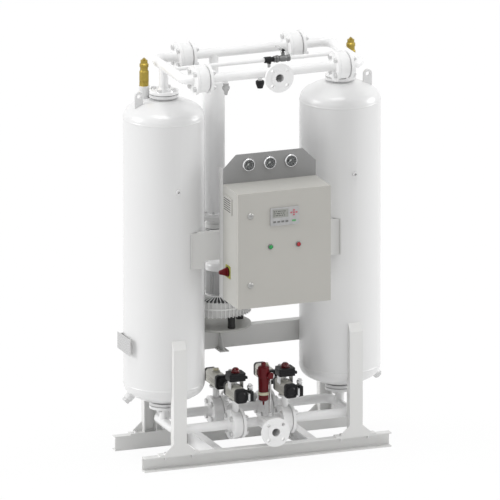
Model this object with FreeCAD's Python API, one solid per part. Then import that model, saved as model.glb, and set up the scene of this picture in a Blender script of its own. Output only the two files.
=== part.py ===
import FreeCAD, Part
import os
from math import cos, pi, radians, sin, sqrt

# A twin-tower desiccant air dryer with a side channel blower and a heater.
# Millimetres, +Z up, -Y is the cabinet side. The origin is on the floor, midway between the anchor holes.

# Towers
TOWER_X = 476.0
TOWER_R = 206.0
TOWER_WALL = 6.0
TANGENT_LOW = 400.0
TANGENT_HIGH = 1786.0
CROWN_R = 1.6 * TOWER_R
KNUCKLE_R = 0.308 * TOWER_R
HEAD_DEPTH = CROWN_R - sqrt((CROWN_R - KNUCKLE_R) ** 2 - (TOWER_R - KNUCKLE_R) ** 2)
BED_TOP = 1690.0
SCREEN_T = 3.0
FIT = 0.3

# Pipework
PIPE_D = 48.3
PIPE_BORE = 43.0
BRANCH_D = PIPE_D - 0.6
BRANCH_BORE = PIPE_BORE - 0.6
BEND_R = 57.0
FLANGE_D = 150.0
FLANGE_T = 16.0
FLANGE_PCD = 110.0
FLANGE_HOLE_R = 9.0
RAISED_D = 84.0
RAISED_T = 2.0
HUB_D = 66.0
HUB_L = 14.0
BOLT_D = 16.0
NECK_D = 110.0
TOP_FLANGE_Z = 1894.0
LOW_FLANGE_Z = 281.0
PIPE_RISE = 156.0
PIPE_DROP = 96.0
PIPE_TOP_Z = TOP_FLANGE_Z + PIPE_RISE
PIPE_LOW_Z = LOW_FLANGE_Z - PIPE_DROP
TOP_FRONT_Y = -305.0
TOP_REAR_Y = 148.0
LOW_FRONT_Y = -157.0
LOW_REAR_Y = 120.0
OUTLET_Y = -430.0
INLET_Y = -380.0
CENTRE_X = -15.0
TOP_CENTRE_X = -13.0
EXHAUST_Y = 262.0

# Check valves
CHECK_D = 134.0
CHECK_L = 55.0
CHECK_FRONT_X = 378.0
CHECK_REAR_X = 296.0
CHECK_PLATE_T = 4.0

# Butterfly valves and their actuators
VALVE_OFFSET = 134.0
VALVE_D = 134.0
VALVE_L = 36.0
DISC_D = 42.0
DISC_T = 4.0
STEM_D = 12.0
STEM_CLEAR = 0.05
NECK_TOP = 121.0
NECK_W = 34.0
TOP_PLATE_D = 68.0
TOP_PLATE_T = 8.0
ACTUATOR_L = 170.0
ACTUATOR_W = 62.0
ACTUATOR_H = 72.0
CAP_L = 20.0
SWITCH_L = 85.0
SWITCH_W = 78.0
SWITCH_H = 40.0
SWITCH_LIFT = 30.0
DOME_D = 42.0
DOME_H = 26.0
ACTUATOR_ROUND = 16.0
BRACKET_W = 68.0
BRACKET_T = 4.0
BRACKET_DEPTH = 44.0
BRACKET_DROP = 14.0
SOLENOID_SHIFT = -62.0
SOLENOID_BLOCK_W = 10.0
COIL_W = 24.0
COIL_H = 54.0
COIL_LIFT = 4.0
PLUG_D = 26.0
PLUG_L = 30.0
INDICATOR_D = 30.0

# Base frame
RAIL_HALF = 668.0
RAIL_BACK_Y = 190.0
RAIL_DEPTH = 42.0
RAIL_H = 75.0
RAIL_T = 6.0
CROSS_X = 255.0
CROSS_W = 45.0
ANCHOR_X = 600.0
ANCHOR_R = 7.0
LEG_W = 70.0
LEG_DEPTH = 42.0
LEG_T = 6.0
LEG_FACE_TOP = 624.0
LEG_TOP = 666.0
FLARE_W = 162.0
FLARE_TOP = 132.0
FOOT_W = 216.0
FOOT_T = 8.0
FOOT_BOLT_X = 73.0
FOOT_BOLT_D = 12.0

# Control cabinet and its frame
CAB_W = 500.0
CAB_LOW = 873.0
CAB_H = 600.0
CAB_FRONT_Y = -456.0
CAB_DEPTH = 210.0
CAB_T = 2.0
DOOR_T = 18.0
DOOR_SKIN = 2.0
DOOR_GAP = 1.5
RIM = 20.0
LATCH_X = -183.0
LATCH_OFFSETS = (181.0, -181.0)
LATCH_D = 22.0
PLATE_MARGIN = 25.0
HMI_W = 155.0
HMI_H = 92.0
HMI_Z = 1339.0
HMI_PROUD = 7.0
LAMP_X = 75.0
LAMP_Z = 1185.0
LAMP_D = 28.0
SWITCH_Z = 1036.0
SWITCH_SETBACK = 138.0
SWITCH_PLATE = 65.0
GAUGE_PLATE_H = 147.0
GAUGE_PLATE_T = 4.0
GAUGE_CHAMFER = 70.0
GAUGE_D = 67.0
GAUGE_X = 114.0
GAUGE_Z = 1563.0
GAUGE_BODY_L = 30.0
BAND_Y = -190.0
BAND_X = 405.0
BAND_LOW = 1029.0
BAND_NOTCH_X = 335.0
BAND_NOTCH_TOP = 1067.0
BAND_TOP = 1215.0
BAND_T = 5.0
CAB_BACK_Y = CAB_FRONT_Y + CAB_DEPTH
BODY_FRONT_Y = CAB_FRONT_Y + DOOR_T + DOOR_GAP
CAB_TOP = CAB_LOW + CAB_H
HINGE_D = 8.0
HINGE_PIN_D = 4.0
HINGE_L = 60.0
HINGE_LEAF_T = 1.5
HINGE_X = CAB_W / 2 + HINGE_D / 2 + 0.5
HINGE_Y = CAB_FRONT_Y + DOOR_T + DOOR_GAP / 2
HMI_CUT = 12.0
HMI_BACK = 32.0
SWITCH_Y = CAB_FRONT_Y + SWITCH_SETBACK
HANDLE_D = 44.0
HANDLE_SHAFT_D = 12.0
HANDLE_H = 46.0
VENT_Y = -318.0
VENT_DROP = 87.5
VENT_Z = CAB_TOP - VENT_DROP
VENT_W = 120.0
VENT_H = 86.0
LATCH_CLEAR = 0.05
GEAR_ROW_LOW = 230.0
GEAR_ROW_HIGH = 400.0
GEAR_RAIL_L = 400.0
SCREEN_LEFT = -66.0
SCREEN_W = 84.0
SCREEN_H = 42.0
SCREEN_LOW = HMI_Z - 4.0
KEY_T = 1.2
DIAL_D = 56.0
NEEDLE_GAP = 0.8

# Blower and heater
BLOWER_X = -112.0
BLOWER_Y = 190.0
BLOWER_D = 337.0
BLOWER_BASE_Z = 614.0
BLOWER_BASE_T = 10.0
BLOWER_LOW = 687.0
BLOWER_HIGH = 778.0
MOTOR_D = 118.0
MOTOR_TOP = 905.0
COWL_TOP = 945.0
COWL_D = 126.0
FIN_COUNT = 48
FIN_T = 3.0
RUBBER_FOOT_D = 40.0
BEAM_TOP = 614.0
BEAM_H = 105.0
BEAM_Y = 116.0
BEAM_DEPTH = 50.0
HEATER_X = -150.0
HEATER_D = 114.0
HEATER_LOW = 1206.0
HEATER_HIGH = 1945.0
HEATER_FLANGE_D = 150.0
HEATER_BOLT_D = 8.0
BLADE_COUNT = 30
CAVITY_R = 136.0
IMPELLER_CLEAR = 2.0
SHAFT_D = 24.0
PORT_SINK = 18.0
DUCT_Y = 310.0
DUCT_Z = 1270.0
FOOT_BRACKET_X = -158.0
ELEMENT_D = 8.0

# Small pieces
RELIEF_X = 82.0
RELIEF_Y = 62.0
LUG_X = 141.0
LUG_Y = -18.0
DRAIN_R = 174.0
FILTER_X = 2.0
FILTER_D = 54.0
FILTER_LOW = 269.0
FILTER_HIGH = 494.0
PURGE_Y = -76.0
PURGE_D = 21.3
PURGE_VALVE_X = 138.0
LEVER_LIFT = 40.0
LEVER_L = 87.0
RELIEF_NECK = 47.0
RELIEF_NECK_D = 54.0
RELIEF_THREAD_D = 24.0
BOSS_D = 26.0
BOSS_L = 10.0
BOSS_Z = 1444.0
DRAIN_D = 48.0
DRAIN_L = 34.0
DATA_W = 177.0
DATA_H = 85.0
DATA_Z = 618.0
DATA_X = 694.0
DATA_T = 2.0
PURGE_SOCKET_L = 46.0
PURGE_SOCKET_D = 32.0
SENSOR_X = (-74.0, -257.0)
SENSOR_SEAT = 36.0
SENSOR_SOCKET_D = 20.0
RISER_DX = 36.0
RISER_D = 12.0
RISER_SEAT = 40.0
REGULATOR_X = (36.0, 87.0)
BALL_BODY_D = 34.0
BALL_L = 44.0

X = FreeCAD.Vector(1, 0, 0)
Y = FreeCAD.Vector(0, 1, 0)
Z = FreeCAD.Vector(0, 0, 1)


def at(x, y, z):
    return FreeCAD.Vector(x, y, z)


def block(x0, x1, y0, y1, z0, z1):
    return Part.makeBox(x1 - x0, y1 - y0, z1 - z0, at(x0, y0, z0))


def rod(start, axis, length, diameter):
    return Part.makeCylinder(diameter / 2, length, start, axis)


def ring(start, axis, length, outer, inner):
    return rod(start, axis, length, outer).cut(rod(start, axis, length, inner))


def face_of(points):
    return Part.Face(Part.makePolygon(points + [points[0]]))


def turned(profile, base, axis):
    """A solid of revolution: profile is (radius, height) points, height measured along axis from base."""
    face = face_of([at(r, 0, h) for r, h in profile])
    solid = face.revolve(at(0, 0, 0), Z, 360)
    solid.Placement = FreeCAD.Placement(base, FreeCAD.Rotation(Z, axis))
    return solid


def hexagon(base, axis, across, height):
    corners = [at(across / sqrt(3) * cos(radians(60 * k)), across / sqrt(3) * sin(radians(60 * k)), 0)
               for k in range(6)]
    solid = face_of(corners).extrude(Z * height)
    solid.Placement = FreeCAD.Placement(base, FreeCAD.Rotation(Z, axis))
    return solid


def prism(points, direction):
    return face_of(points).extrude(direction)


def fuse(pieces):
    return pieces[0].multiFuse(pieces[1:]) if len(pieces) > 1 else pieces[0]


def whole(pieces):
    return fuse(pieces).removeSplitter()


def group(pieces):
    return Part.makeCompound(pieces)


def mirrored(shape):
    return shape.mirror(at(0, 0, 0), X)


def both_sides(shape):
    return group([shape, mirrored(shape)])


def run_of_pipe(points, diameter, bend):
    """Straight runs joined by tangent bends, as one round solid."""
    edges = []
    start = points[0]
    for before, corner, after in zip(points, points[1:], points[2:]):
        into = (corner - before).normalize()
        out = (after - corner).normalize()
        first = corner - into * bend
        last = corner + out * bend
        middle = corner + (out - into) * (bend * (1 - 1 / sqrt(2)))
        if (first - start).Length > 0.01:
            edges.append(Part.LineSegment(start, first).toShape())
        edges.append(Part.Arc(first, middle, last).toShape())
        start = last
    if (points[-1] - start).Length > 0.01:
        edges.append(Part.LineSegment(start, points[-1]).toShape())
    path = Part.Wire(edges)
    circle = Part.Wire([Part.makeCircle(diameter / 2, points[0], (points[1] - points[0]).normalize())])
    return path.makePipeShell([circle], True, True)


def bolt_places(centre, axis, pcd, count):
    """Bolt hole centres round a flange, straddling its centre lines."""
    turn = FreeCAD.Rotation(Z, axis)
    places = []
    for k in range(count):
        angle = 2 * pi * (k + 0.5) / count
        places.append(centre + turn.multVec(at(cos(angle), sin(angle), 0) * (pcd / 2)))
    return places


def flange(face, axis, hub=HUB_L):
    """A welding-neck flange: face is the centre of its joint face and axis points to its pipe."""
    profile = [(0, 0), (RAISED_D / 2, 0), (RAISED_D / 2, RAISED_T), (FLANGE_D / 2, RAISED_T),
               (FLANGE_D / 2, FLANGE_T), (HUB_D / 2, FLANGE_T), (PIPE_D / 2, FLANGE_T + hub),
               (0, FLANGE_T + hub)]
    solid = turned(profile, face, axis)
    holes = [rod(p, axis, FLANGE_T, 2 * FLANGE_HOLE_R) for p in bolt_places(face, axis, FLANGE_PCD, 4)]
    return solid.cut(fuse(holes))


def flange_bolts(face, axis, grip):
    """Four hex bolts with nuts that clamp the grip which starts at face and runs along axis."""
    pieces = []
    head = BOLT_D * 0.65
    across = BOLT_D * 1.5
    for p in bolt_places(face, axis, FLANGE_PCD, 4):
        bolt = rod(p, axis, grip + BOLT_D * 1.2, BOLT_D).fuse(hexagon(p - axis * head, axis, across, head))
        nut = hexagon(p + axis * grip, axis, across, BOLT_D * 0.8)
        pieces.append(bolt)
        pieces.append(nut.cut(rod(p + axis * (grip - 1), axis, BOLT_D * 2, BOLT_D)))
    return pieces


def flange_screws(face, axis, grip):
    """Four hex screws that enter at face and end flush with the far side of the grip."""
    head = BOLT_D * 0.65
    return [rod(p, axis, grip, BOLT_D).fuse(hexagon(p - axis * head, axis, BOLT_D * 1.5, head))
            for p in bolt_places(face, axis, FLANGE_PCD, 4)]


def bored(outer, inner):
    return fuse(outer).cut(fuse(inner)).removeSplitter()


def head_height(radius, offset=0.0):
    """Height of a tower head over its tangent plane at a distance from the axis: crown, then knuckle."""
    if radius < CROWN_R * (TOWER_R - KNUCKLE_R) / (CROWN_R - KNUCKLE_R):
        return HEAD_DEPTH - CROWN_R + sqrt((CROWN_R + offset) ** 2 - radius ** 2)
    return sqrt((KNUCKLE_R + offset) ** 2 - (radius - TOWER_R + KNUCKLE_R) ** 2)


# Base frame

def rail(side):
    back = side * RAIL_BACK_Y
    tip = side * (RAIL_BACK_Y + RAIL_DEPTH)
    web = back + side * RAIL_T
    section = [at(-RAIL_HALF, back, 0), at(-RAIL_HALF, tip, 0), at(-RAIL_HALF, tip, RAIL_T),
               at(-RAIL_HALF, web, RAIL_T), at(-RAIL_HALF, web, RAIL_H - RAIL_T),
               at(-RAIL_HALF, tip, RAIL_H - RAIL_T), at(-RAIL_HALF, tip, RAIL_H),
               at(-RAIL_HALF, back, RAIL_H)]
    solid = prism(section, X * (2 * RAIL_HALF))
    hole_y = side * (RAIL_BACK_Y + RAIL_DEPTH / 2)
    holes = [rod(at(x, hole_y, 0), Z, RAIL_T, 2 * ANCHOR_R) for x in (-ANCHOR_X, ANCHOR_X)]
    for x in foot_bolt_places():
        holes.append(rod(at(x, hole_y, RAIL_H - RAIL_T), Z, RAIL_T, FOOT_BOLT_D + 2))
    return solid.cut(fuse(holes))


def cross_member(side):
    outer = side * (CROSS_X + CROSS_W / 2)
    inner = side * (CROSS_X - CROSS_W / 2)
    web = outer - side * RAIL_T
    section = [at(outer, -RAIL_BACK_Y, 0), at(inner, -RAIL_BACK_Y, 0), at(inner, -RAIL_BACK_Y, RAIL_T),
               at(web, -RAIL_BACK_Y, RAIL_T), at(web, -RAIL_BACK_Y, RAIL_H - RAIL_T),
               at(inner, -RAIL_BACK_Y, RAIL_H - RAIL_T), at(inner, -RAIL_BACK_Y, RAIL_H),
               at(outer, -RAIL_BACK_Y, RAIL_H)]
    return prism(section, Y * (2 * RAIL_BACK_Y))


def foot_bolt_places():
    return [tower + side for tower in (-TOWER_X, TOWER_X) for side in (-FOOT_BOLT_X, FOOT_BOLT_X)]


def vessel_form(x, offset):
    """A tower with two dished heads, turned about its axis. Offset moves its skin outwards."""
    radius = TOWER_R + offset
    depth = HEAD_DEPTH + offset
    middle = TOWER_R - KNUCKLE_R
    slope = middle / (CROWN_R - KNUCKLE_R)
    lean = sqrt(1 - slope ** 2)
    crown = CROWN_R + offset
    knuckle = KNUCKLE_R + offset
    join = (crown * slope, HEAD_DEPTH - CROWN_R + crown * lean)
    half_slope = sqrt((1 - lean) / 2)
    high_crown = (crown * half_slope, HEAD_DEPTH - CROWN_R + crown * sqrt(1 - half_slope ** 2))
    turn = sqrt((1 + slope) / 2)
    side = (middle + knuckle * turn, knuckle * sqrt(1 - turn ** 2))

    def arc(a, b, c):
        return Part.Arc(at(a[0], 0, a[1]), at(b[0], 0, b[1]), at(c[0], 0, c[1])).toShape()

    def above(point):
        return point[0], TANGENT_HIGH + point[1]

    def below(point):
        return point[0], TANGENT_LOW - point[1]

    apex = (0, depth)
    rim = (radius, 0)
    edges = [arc(below(apex), below(high_crown), below(join)), arc(below(join), below(side), below(rim)),
             Part.LineSegment(at(radius, 0, TANGENT_LOW), at(radius, 0, TANGENT_HIGH)).toShape(),
             arc(above(rim), above(side), above(join)), arc(above(join), above(high_crown), above(apex)),
             Part.LineSegment(at(0, 0, TANGENT_HIGH + depth), at(0, 0, TANGENT_LOW - depth)).toShape()]
    solid = Part.Face(Part.Wire(edges)).revolve(at(0, 0, 0), Z, 360)
    solid.translate(at(x, 0, 0))
    return solid


def leg(x, side):
    """A channel with its web outwards, a bevelled cap, a flared gusset and a foot plate."""
    face = RAIL_BACK_Y + RAIL_DEPTH
    inner = face - LEG_DEPTH
    foot = RAIL_H + FOOT_T
    bevel = face - TOWER_R

    def side_outline(inset, half):
        return [at(x - half, side * (face - inset), foot), at(x - half, side * (face - inset), LEG_FACE_TOP - inset),
                at(x - half, side * (face - bevel - inset), LEG_TOP - inset),
                at(x - half, side * inner, LEG_TOP - inset), at(x - half, side * inner, foot)]

    outside = prism(side_outline(0, LEG_W / 2), X * LEG_W)
    hollow = prism(side_outline(LEG_T, LEG_W / 2 - LEG_T), X * (LEG_W - 2 * LEG_T))
    channel = outside.cut(hollow).cut(vessel_form(x, FIT))
    flare = [at(x - FLARE_W / 2, side * face, foot), at(x + FLARE_W / 2, side * face, foot),
             at(x + FLARE_W / 2, side * face, foot + FOOT_T), at(x + LEG_W / 2, side * face, FLARE_TOP),
             at(x - LEG_W / 2, side * face, FLARE_TOP), at(x - FLARE_W / 2, side * face, foot + FOOT_T)]
    gusset = prism(flare, Y * (-side * LEG_T))
    low_y, high_y = sorted((side * RAIL_BACK_Y, side * face))
    plate = block(x - FOOT_W / 2, x + FOOT_W / 2, low_y, high_y, RAIL_H, foot)
    hole_y = side * (RAIL_BACK_Y + RAIL_DEPTH / 2)
    holes = [rod(at(x + dx, hole_y, RAIL_H), Z, FOOT_T, FOOT_BOLT_D + 2) for dx in (-FOOT_BOLT_X, FOOT_BOLT_X)]
    return whole([channel, gusset, plate]).cut(fuse(holes))


def foot_bolts():
    pieces = []
    grip = FOOT_T + RAIL_T
    for x in foot_bolt_places():
        for side in (-1, 1):
            seat = at(x, side * (RAIL_BACK_Y + RAIL_DEPTH / 2), RAIL_H + FOOT_T)
            shank = rod(seat, -Z, grip + 1.4 * FOOT_BOLT_D, FOOT_BOLT_D)
            head = hexagon(seat, Z, 1.5 * FOOT_BOLT_D, 0.65 * FOOT_BOLT_D)
            nut = hexagon(seat - Z * grip, -Z, 1.5 * FOOT_BOLT_D, 0.8 * FOOT_BOLT_D)
            pieces.append(fuse([shank, head, nut]))
    return group(pieces)


# Towers

def dome_z(radius):
    return TANGENT_HIGH + head_height(radius)


def relief_place(sign):
    return at(sign * (TOWER_X + RELIEF_X), RELIEF_Y, TOP_FLANGE_Z + RELIEF_NECK)


def drain_axis(sign):
    return at(sign, 0, -1).normalize()


def drain_start(sign):
    z = TANGENT_LOW - head_height(DRAIN_R, -TOWER_WALL)
    return at(sign * (TOWER_X + DRAIN_R), 0, z)


def vessel(sign):
    """A welded pressure vessel with its nozzles, relief neck, drain stub and front port."""
    x = sign * TOWER_X
    outer = vessel_form(x, 0.0)
    inner = vessel_form(x, -TOWER_WALL)
    apex = TANGENT_HIGH + HEAD_DEPTH - TOWER_WALL
    nadir = TANGENT_LOW - HEAD_DEPTH + TOWER_WALL
    top_neck = rod(at(x, 0, apex), Z, TOP_FLANGE_Z - apex, NECK_D)
    low_neck = rod(at(x, 0, nadir), -Z, nadir - LOW_FLANGE_Z - FLANGE_T, NECK_D)
    top = flange(at(x, 0, TOP_FLANGE_Z + FLANGE_T), -Z, 0)
    low = flange(at(x, 0, LOW_FLANGE_Z), Z, 0)
    relief = relief_place(sign)
    relief_base = dome_z(sqrt(RELIEF_X ** 2 + RELIEF_Y ** 2)) - 4 * TOWER_WALL
    relief_neck = rod(at(relief.x, relief.y, relief_base), Z, relief.z - relief_base, RELIEF_NECK_D)
    stub = rod(drain_start(sign), drain_axis(sign), DRAIN_L, DRAIN_D)
    boss = rod(at(x, -TOWER_R + TOWER_WALL, BOSS_Z), -Y, TOWER_WALL + BOSS_L, BOSS_D)
    body = fuse([outer, top_neck, low_neck, top, low, relief_neck, stub, boss, lifting_lug(sign)]).cut(inner)
    bores = [rod(at(x, 0, LOW_FLANGE_Z), Z, TOP_FLANGE_Z + FLANGE_T - LOW_FLANGE_Z, PIPE_BORE),
             rod(at(relief.x, relief.y, relief_base), Z, relief.z - relief_base, RELIEF_THREAD_D),
             rod(drain_start(sign), drain_axis(sign), DRAIN_L, RELIEF_THREAD_D),
             rod(at(x, -TOWER_R - BOSS_L, BOSS_Z), Y, BOSS_L, BOSS_D / 2)]
    return body.cut(fuse(bores)).removeSplitter()


def desiccant(sign):
    """The bead bed that fills the shell from the support screen up to the upper screen."""
    radius = TOWER_R - TOWER_WALL - FIT
    return rod(at(sign * TOWER_X, 0, TANGENT_LOW + SCREEN_T), Z, BED_TOP - TANGENT_LOW - SCREEN_T, 2 * radius)


def screens():
    """Perforated plates under and over each bed."""
    pieces = []
    radius = TOWER_R - TOWER_WALL - FIT
    for x in (-TOWER_X, TOWER_X):
        for z in (TANGENT_LOW, BED_TOP):
            holes = [rod(at(x + r * cos(2 * pi * k / n), r * sin(2 * pi * k / n), z), Z, SCREEN_T, 16)
                     for r, n in ((50, 6), (100, 12), (150, 18)) for k in range(n)]
            pieces.append(rod(at(x, 0, z), Z, SCREEN_T, 2 * radius).cut(fuse(holes)))
    return group(pieces)


def lifting_lug(sign):
    """A radial lifting eye plate, welded to the outer side of the upper head."""
    width = 45
    thickness = 12
    hole = 22
    x = sign * (TOWER_X + LUG_X)
    low = dome_z(LUG_X + width / 2)
    eye_z = TOP_FLANGE_Z + FLANGE_T
    tab = block(x - width / 2, x + width / 2, LUG_Y - thickness / 2, LUG_Y + thickness / 2, low, eye_z)
    top = rod(at(x, LUG_Y - thickness / 2, eye_z), Y, thickness, width)
    eye = rod(at(x, LUG_Y - thickness / 2, eye_z), Y, thickness, hole)
    return whole([tab, top]).cut(eye)


def relief_valve(sign):
    """A brass relief valve: threaded end, hex, body, bonnet, cap and spindle tip."""
    seat = relief_place(sign)
    thread = rod(seat - Z * 20, Z, 20, RELIEF_THREAD_D - 2 * FIT)
    hexes = hexagon(seat, Z, 44, 22)
    body = turned([(0, 22), (22, 22), (24, 26), (24, 74), (20, 80), (20, 96), (23, 98), (23, 112),
                   (18, 118), (18, 132), (9, 134), (9, 140), (3, 140), (3, 145), (0, 145)], seat, Z)
    return fuse([thread, hexes, body])


def drain_plugs():
    seat = drain_start(1) + drain_axis(1) * DRAIN_L
    plug = fuse([rod(seat - drain_axis(1) * 12, drain_axis(1), 12, RELIEF_THREAD_D - 2 * FIT),
                 hexagon(seat, drain_axis(1), 38, 18)])
    return both_sides(plug)


def data_plate():
    x = -DATA_X
    return block(x, x + DATA_T, -DATA_W / 2, DATA_W / 2, DATA_Z - DATA_H / 2, DATA_Z + DATA_H / 2)


def data_bracket():
    """A folded tray that carries the data plate, welded to the shell at its two return edges."""
    x = -DATA_X + DATA_T
    tray = block(x, x + DATA_T, -DATA_W / 2, DATA_W / 2, DATA_Z - DATA_H / 2, DATA_Z + DATA_H / 2)
    returns = [block(x, -TOWER_X, y - DATA_T / 2, y + DATA_T / 2, DATA_Z - DATA_H / 2, DATA_Z + DATA_H / 2)
               for y in (-DATA_W / 3, DATA_W / 3)]
    return whole([tray] + returns).cut(vessel_form(-TOWER_X, FIT))


# Pipework

def top_spool(sign):
    """The bent pipe over one tower: a riser and two arms that end in flanges at the check valves."""
    x = sign * TOWER_X
    front = at(TOP_CENTRE_X + sign * (CHECK_FRONT_X + CHECK_L / 2), TOP_FRONT_Y, PIPE_TOP_Z)
    rear = at(TOP_CENTRE_X + sign * (CHECK_REAR_X + CHECK_L / 2), TOP_REAR_Y, PIPE_TOP_Z)
    route = [front, at(x, TOP_FRONT_Y, PIPE_TOP_Z), at(x, TOP_REAR_Y, PIPE_TOP_Z), rear]
    joint = at(x, 0, TOP_FLANGE_Z + FLANGE_T)
    height = PIPE_TOP_Z - joint.z
    socket_x = x - sign * PURGE_SOCKET_L
    socket = rod(at(socket_x, PURGE_Y, PIPE_TOP_Z), X * sign, PURGE_SOCKET_L, PURGE_SOCKET_D)
    outer = [run_of_pipe(route, PIPE_D, BEND_R), rod(joint, Z, height, BRANCH_D), socket,
             flange(joint, Z), flange(front, X * sign, 0), flange(rear, X * sign)]
    inner = [run_of_pipe(route, PIPE_BORE, BEND_R), rod(joint, Z, height, BRANCH_BORE),
             rod(at(socket_x, PURGE_Y, PIPE_TOP_Z), X * sign, PURGE_SOCKET_L, PURGE_D + 2 * FIT)]
    return bored(outer, inner)


def top_front_header():
    """The dry air header with its outlet branch and two sensor sockets underneath."""
    half = CHECK_FRONT_X - CHECK_L / 2
    ends = [at(TOP_CENTRE_X + x, TOP_FRONT_Y, PIPE_TOP_Z) for x in (-half, half)]
    branch = at(CENTRE_X, OUTLET_Y, PIPE_TOP_Z)
    reach = TOP_FRONT_Y - OUTLET_Y
    outer = [rod(ends[0], X, 2 * half, PIPE_D), flange(ends[0], X), flange(ends[1], -X),
             rod(branch, Y, reach, BRANCH_D), flange(branch, Y)]
    inner = [rod(ends[0], X, 2 * half, PIPE_BORE), rod(branch, Y, reach, BRANCH_BORE)]
    for x in SENSOR_X:
        top = at(x, TOP_FRONT_Y, PIPE_TOP_Z)
        outer.append(rod(top, -Z, SENSOR_SEAT, SENSOR_SOCKET_D))
        inner.append(rod(top, -Z, SENSOR_SEAT, SENSOR_SOCKET_D / 2))
    return bored(outer, inner)


def top_rear_header():
    """The regeneration header with the branch down to the heater."""
    half = CHECK_REAR_X - CHECK_L / 2
    end = at(TOP_CENTRE_X - half, TOP_REAR_Y, PIPE_TOP_Z)
    foot = at(HEATER_X, TOP_REAR_Y, HEATER_HIGH)
    drop = PIPE_TOP_Z - HEATER_HIGH
    outer = [rod(end, X, 2 * half, PIPE_D), flange(end, X), flange(end + X * (2 * half), -X),
             rod(foot, Z, drop, BRANCH_D)]
    inner = [rod(end, X, 2 * half, PIPE_BORE), rod(foot, Z, drop, BRANCH_BORE)]
    return bored(outer, inner)


def check_places():
    """The centre of each check valve."""
    return [at(TOP_CENTRE_X + s * x, y, PIPE_TOP_Z) for s in (-1, 1) for x, y in
            ((CHECK_FRONT_X, TOP_FRONT_Y), (CHECK_REAR_X, TOP_REAR_Y))]


def check_valves():
    """Wafer check valve bodies, each a ring with its closed plate inside."""
    pieces = []
    for place in check_places():
        end = place - X * (CHECK_L / 2)
        body = turned([(PIPE_BORE / 2, 0), (CHECK_D / 2 - 4, 0), (CHECK_D / 2, 4), (CHECK_D / 2, CHECK_L - 4),
                       (CHECK_D / 2 - 4, CHECK_L), (PIPE_BORE / 2, CHECK_L)], end, X)
        bite = CHECK_PLATE_T / 2
        plate = rod(place - X * (CHECK_PLATE_T / 2), X, CHECK_PLATE_T, PIPE_BORE + 2 * bite)
        holes = [rod(p, X, CHECK_L, 2 * FLANGE_HOLE_R) for p in bolt_places(end, X, FLANGE_PCD, 4)]
        pieces.append(fuse([body, plate]).cut(fuse(holes)))
    return group(pieces)


def low_spool(sign):
    """The bent pipe under one tower, with its arms turned inwards to the switching valves."""
    x = sign * TOWER_X
    valve_face = CENTRE_X + sign * (VALVE_OFFSET + VALVE_L / 2)
    front = at(valve_face, LOW_FRONT_Y, PIPE_LOW_Z)
    rear = at(valve_face, LOW_REAR_Y, PIPE_LOW_Z)
    route = [front, at(x, LOW_FRONT_Y, PIPE_LOW_Z), at(x, LOW_REAR_Y, PIPE_LOW_Z), rear]
    joint = at(x, 0, LOW_FLANGE_Z)
    height = joint.z - PIPE_LOW_Z
    outer = [run_of_pipe(route, PIPE_D, BEND_R), rod(joint, -Z, height, BRANCH_D),
             flange(joint, -Z), flange(front, X * sign), flange(rear, X * sign)]
    inner = [run_of_pipe(route, PIPE_BORE, BEND_R), rod(joint, -Z, height, BRANCH_BORE)]
    return bored(outer, inner)


def low_header(y, branch_y):
    """A short header between two switching valves, with one flanged branch."""
    half = VALVE_OFFSET - VALVE_L / 2
    end = at(CENTRE_X - half, y, PIPE_LOW_Z)
    branch = at(CENTRE_X, branch_y, PIPE_LOW_Z)
    away = Y if branch_y < y else -Y
    reach = abs(branch_y - y)
    outer = [rod(end, X, 2 * half, PIPE_D), flange(end, X), flange(end + X * (2 * half), -X),
             rod(branch, away, reach, BRANCH_D), flange(branch, away)]
    inner = [rod(end, X, 2 * half, PIPE_BORE), rod(branch, away, reach, BRANCH_BORE)]
    if y == LOW_FRONT_Y:
        outer.append(rod(at(FILTER_X + RISER_DX, y, PIPE_LOW_Z), Z, RISER_SEAT, RISER_D + 8))
        inner.append(rod(at(FILTER_X + RISER_DX, y, PIPE_LOW_Z), Z, RISER_SEAT, RISER_D))
    return bored(outer, inner)


def tower_bolts():
    pieces = []
    for x in (-TOWER_X, TOWER_X):
        pieces += flange_screws(at(x, 0, TOP_FLANGE_Z + 2 * FLANGE_T), -Z, 2 * FLANGE_T)
        pieces += flange_screws(at(x, 0, LOW_FLANGE_Z - FLANGE_T), Z, 2 * FLANGE_T)
    return group(pieces)


def check_bolts():
    pieces = []
    for place in check_places():
        pieces += flange_bolts(place - X * (CHECK_L / 2 + FLANGE_T), X, CHECK_L + 2 * FLANGE_T)
    return group(pieces)


def valve_bolts():
    pieces = []
    for place in valve_places():
        pieces += flange_bolts(place - X * (VALVE_L / 2 + FLANGE_T), X, VALVE_L + 2 * FLANGE_T)
    return group(pieces)


# Switching valves

def valve_places():
    return [at(CENTRE_X + s * VALVE_OFFSET, y, PIPE_LOW_Z) for y in (LOW_FRONT_Y, LOW_REAR_Y) for s in (-1, 1)]


def valve_bodies():
    """Wafer butterfly bodies: a ring, a stem neck and a round mounting pad."""
    pieces = []
    for place in valve_places():
        end = place - X * (VALVE_L / 2)
        wafer = rod(end, X, VALVE_L, VALVE_D)
        neck = rod(place, Z, NECK_TOP, NECK_W)
        pad = rod(place + Z * NECK_TOP, Z, TOP_PLATE_T, TOP_PLATE_D)
        low_boss = rod(place, -Z, VALVE_D / 2 + 8, NECK_W)
        holes = [rod(p, X, VALVE_L, 2 * FLANGE_HOLE_R) for p in bolt_places(end, X, FLANGE_PCD, 4)]
        bore = rod(end, X, VALVE_L, PIPE_BORE)
        stem_hole = rod(place - Z * (VALVE_D / 2), Z, VALVE_D / 2 + NECK_TOP + TOP_PLATE_T,
                        STEM_D + 2 * STEM_CLEAR)
        pieces.append(whole([wafer, neck, pad, low_boss]).cut(fuse(holes + [bore])).cut(stem_hole))
    return group(pieces)


def actuator_base(place):
    return place + Z * (NECK_TOP + TOP_PLATE_T)


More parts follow.
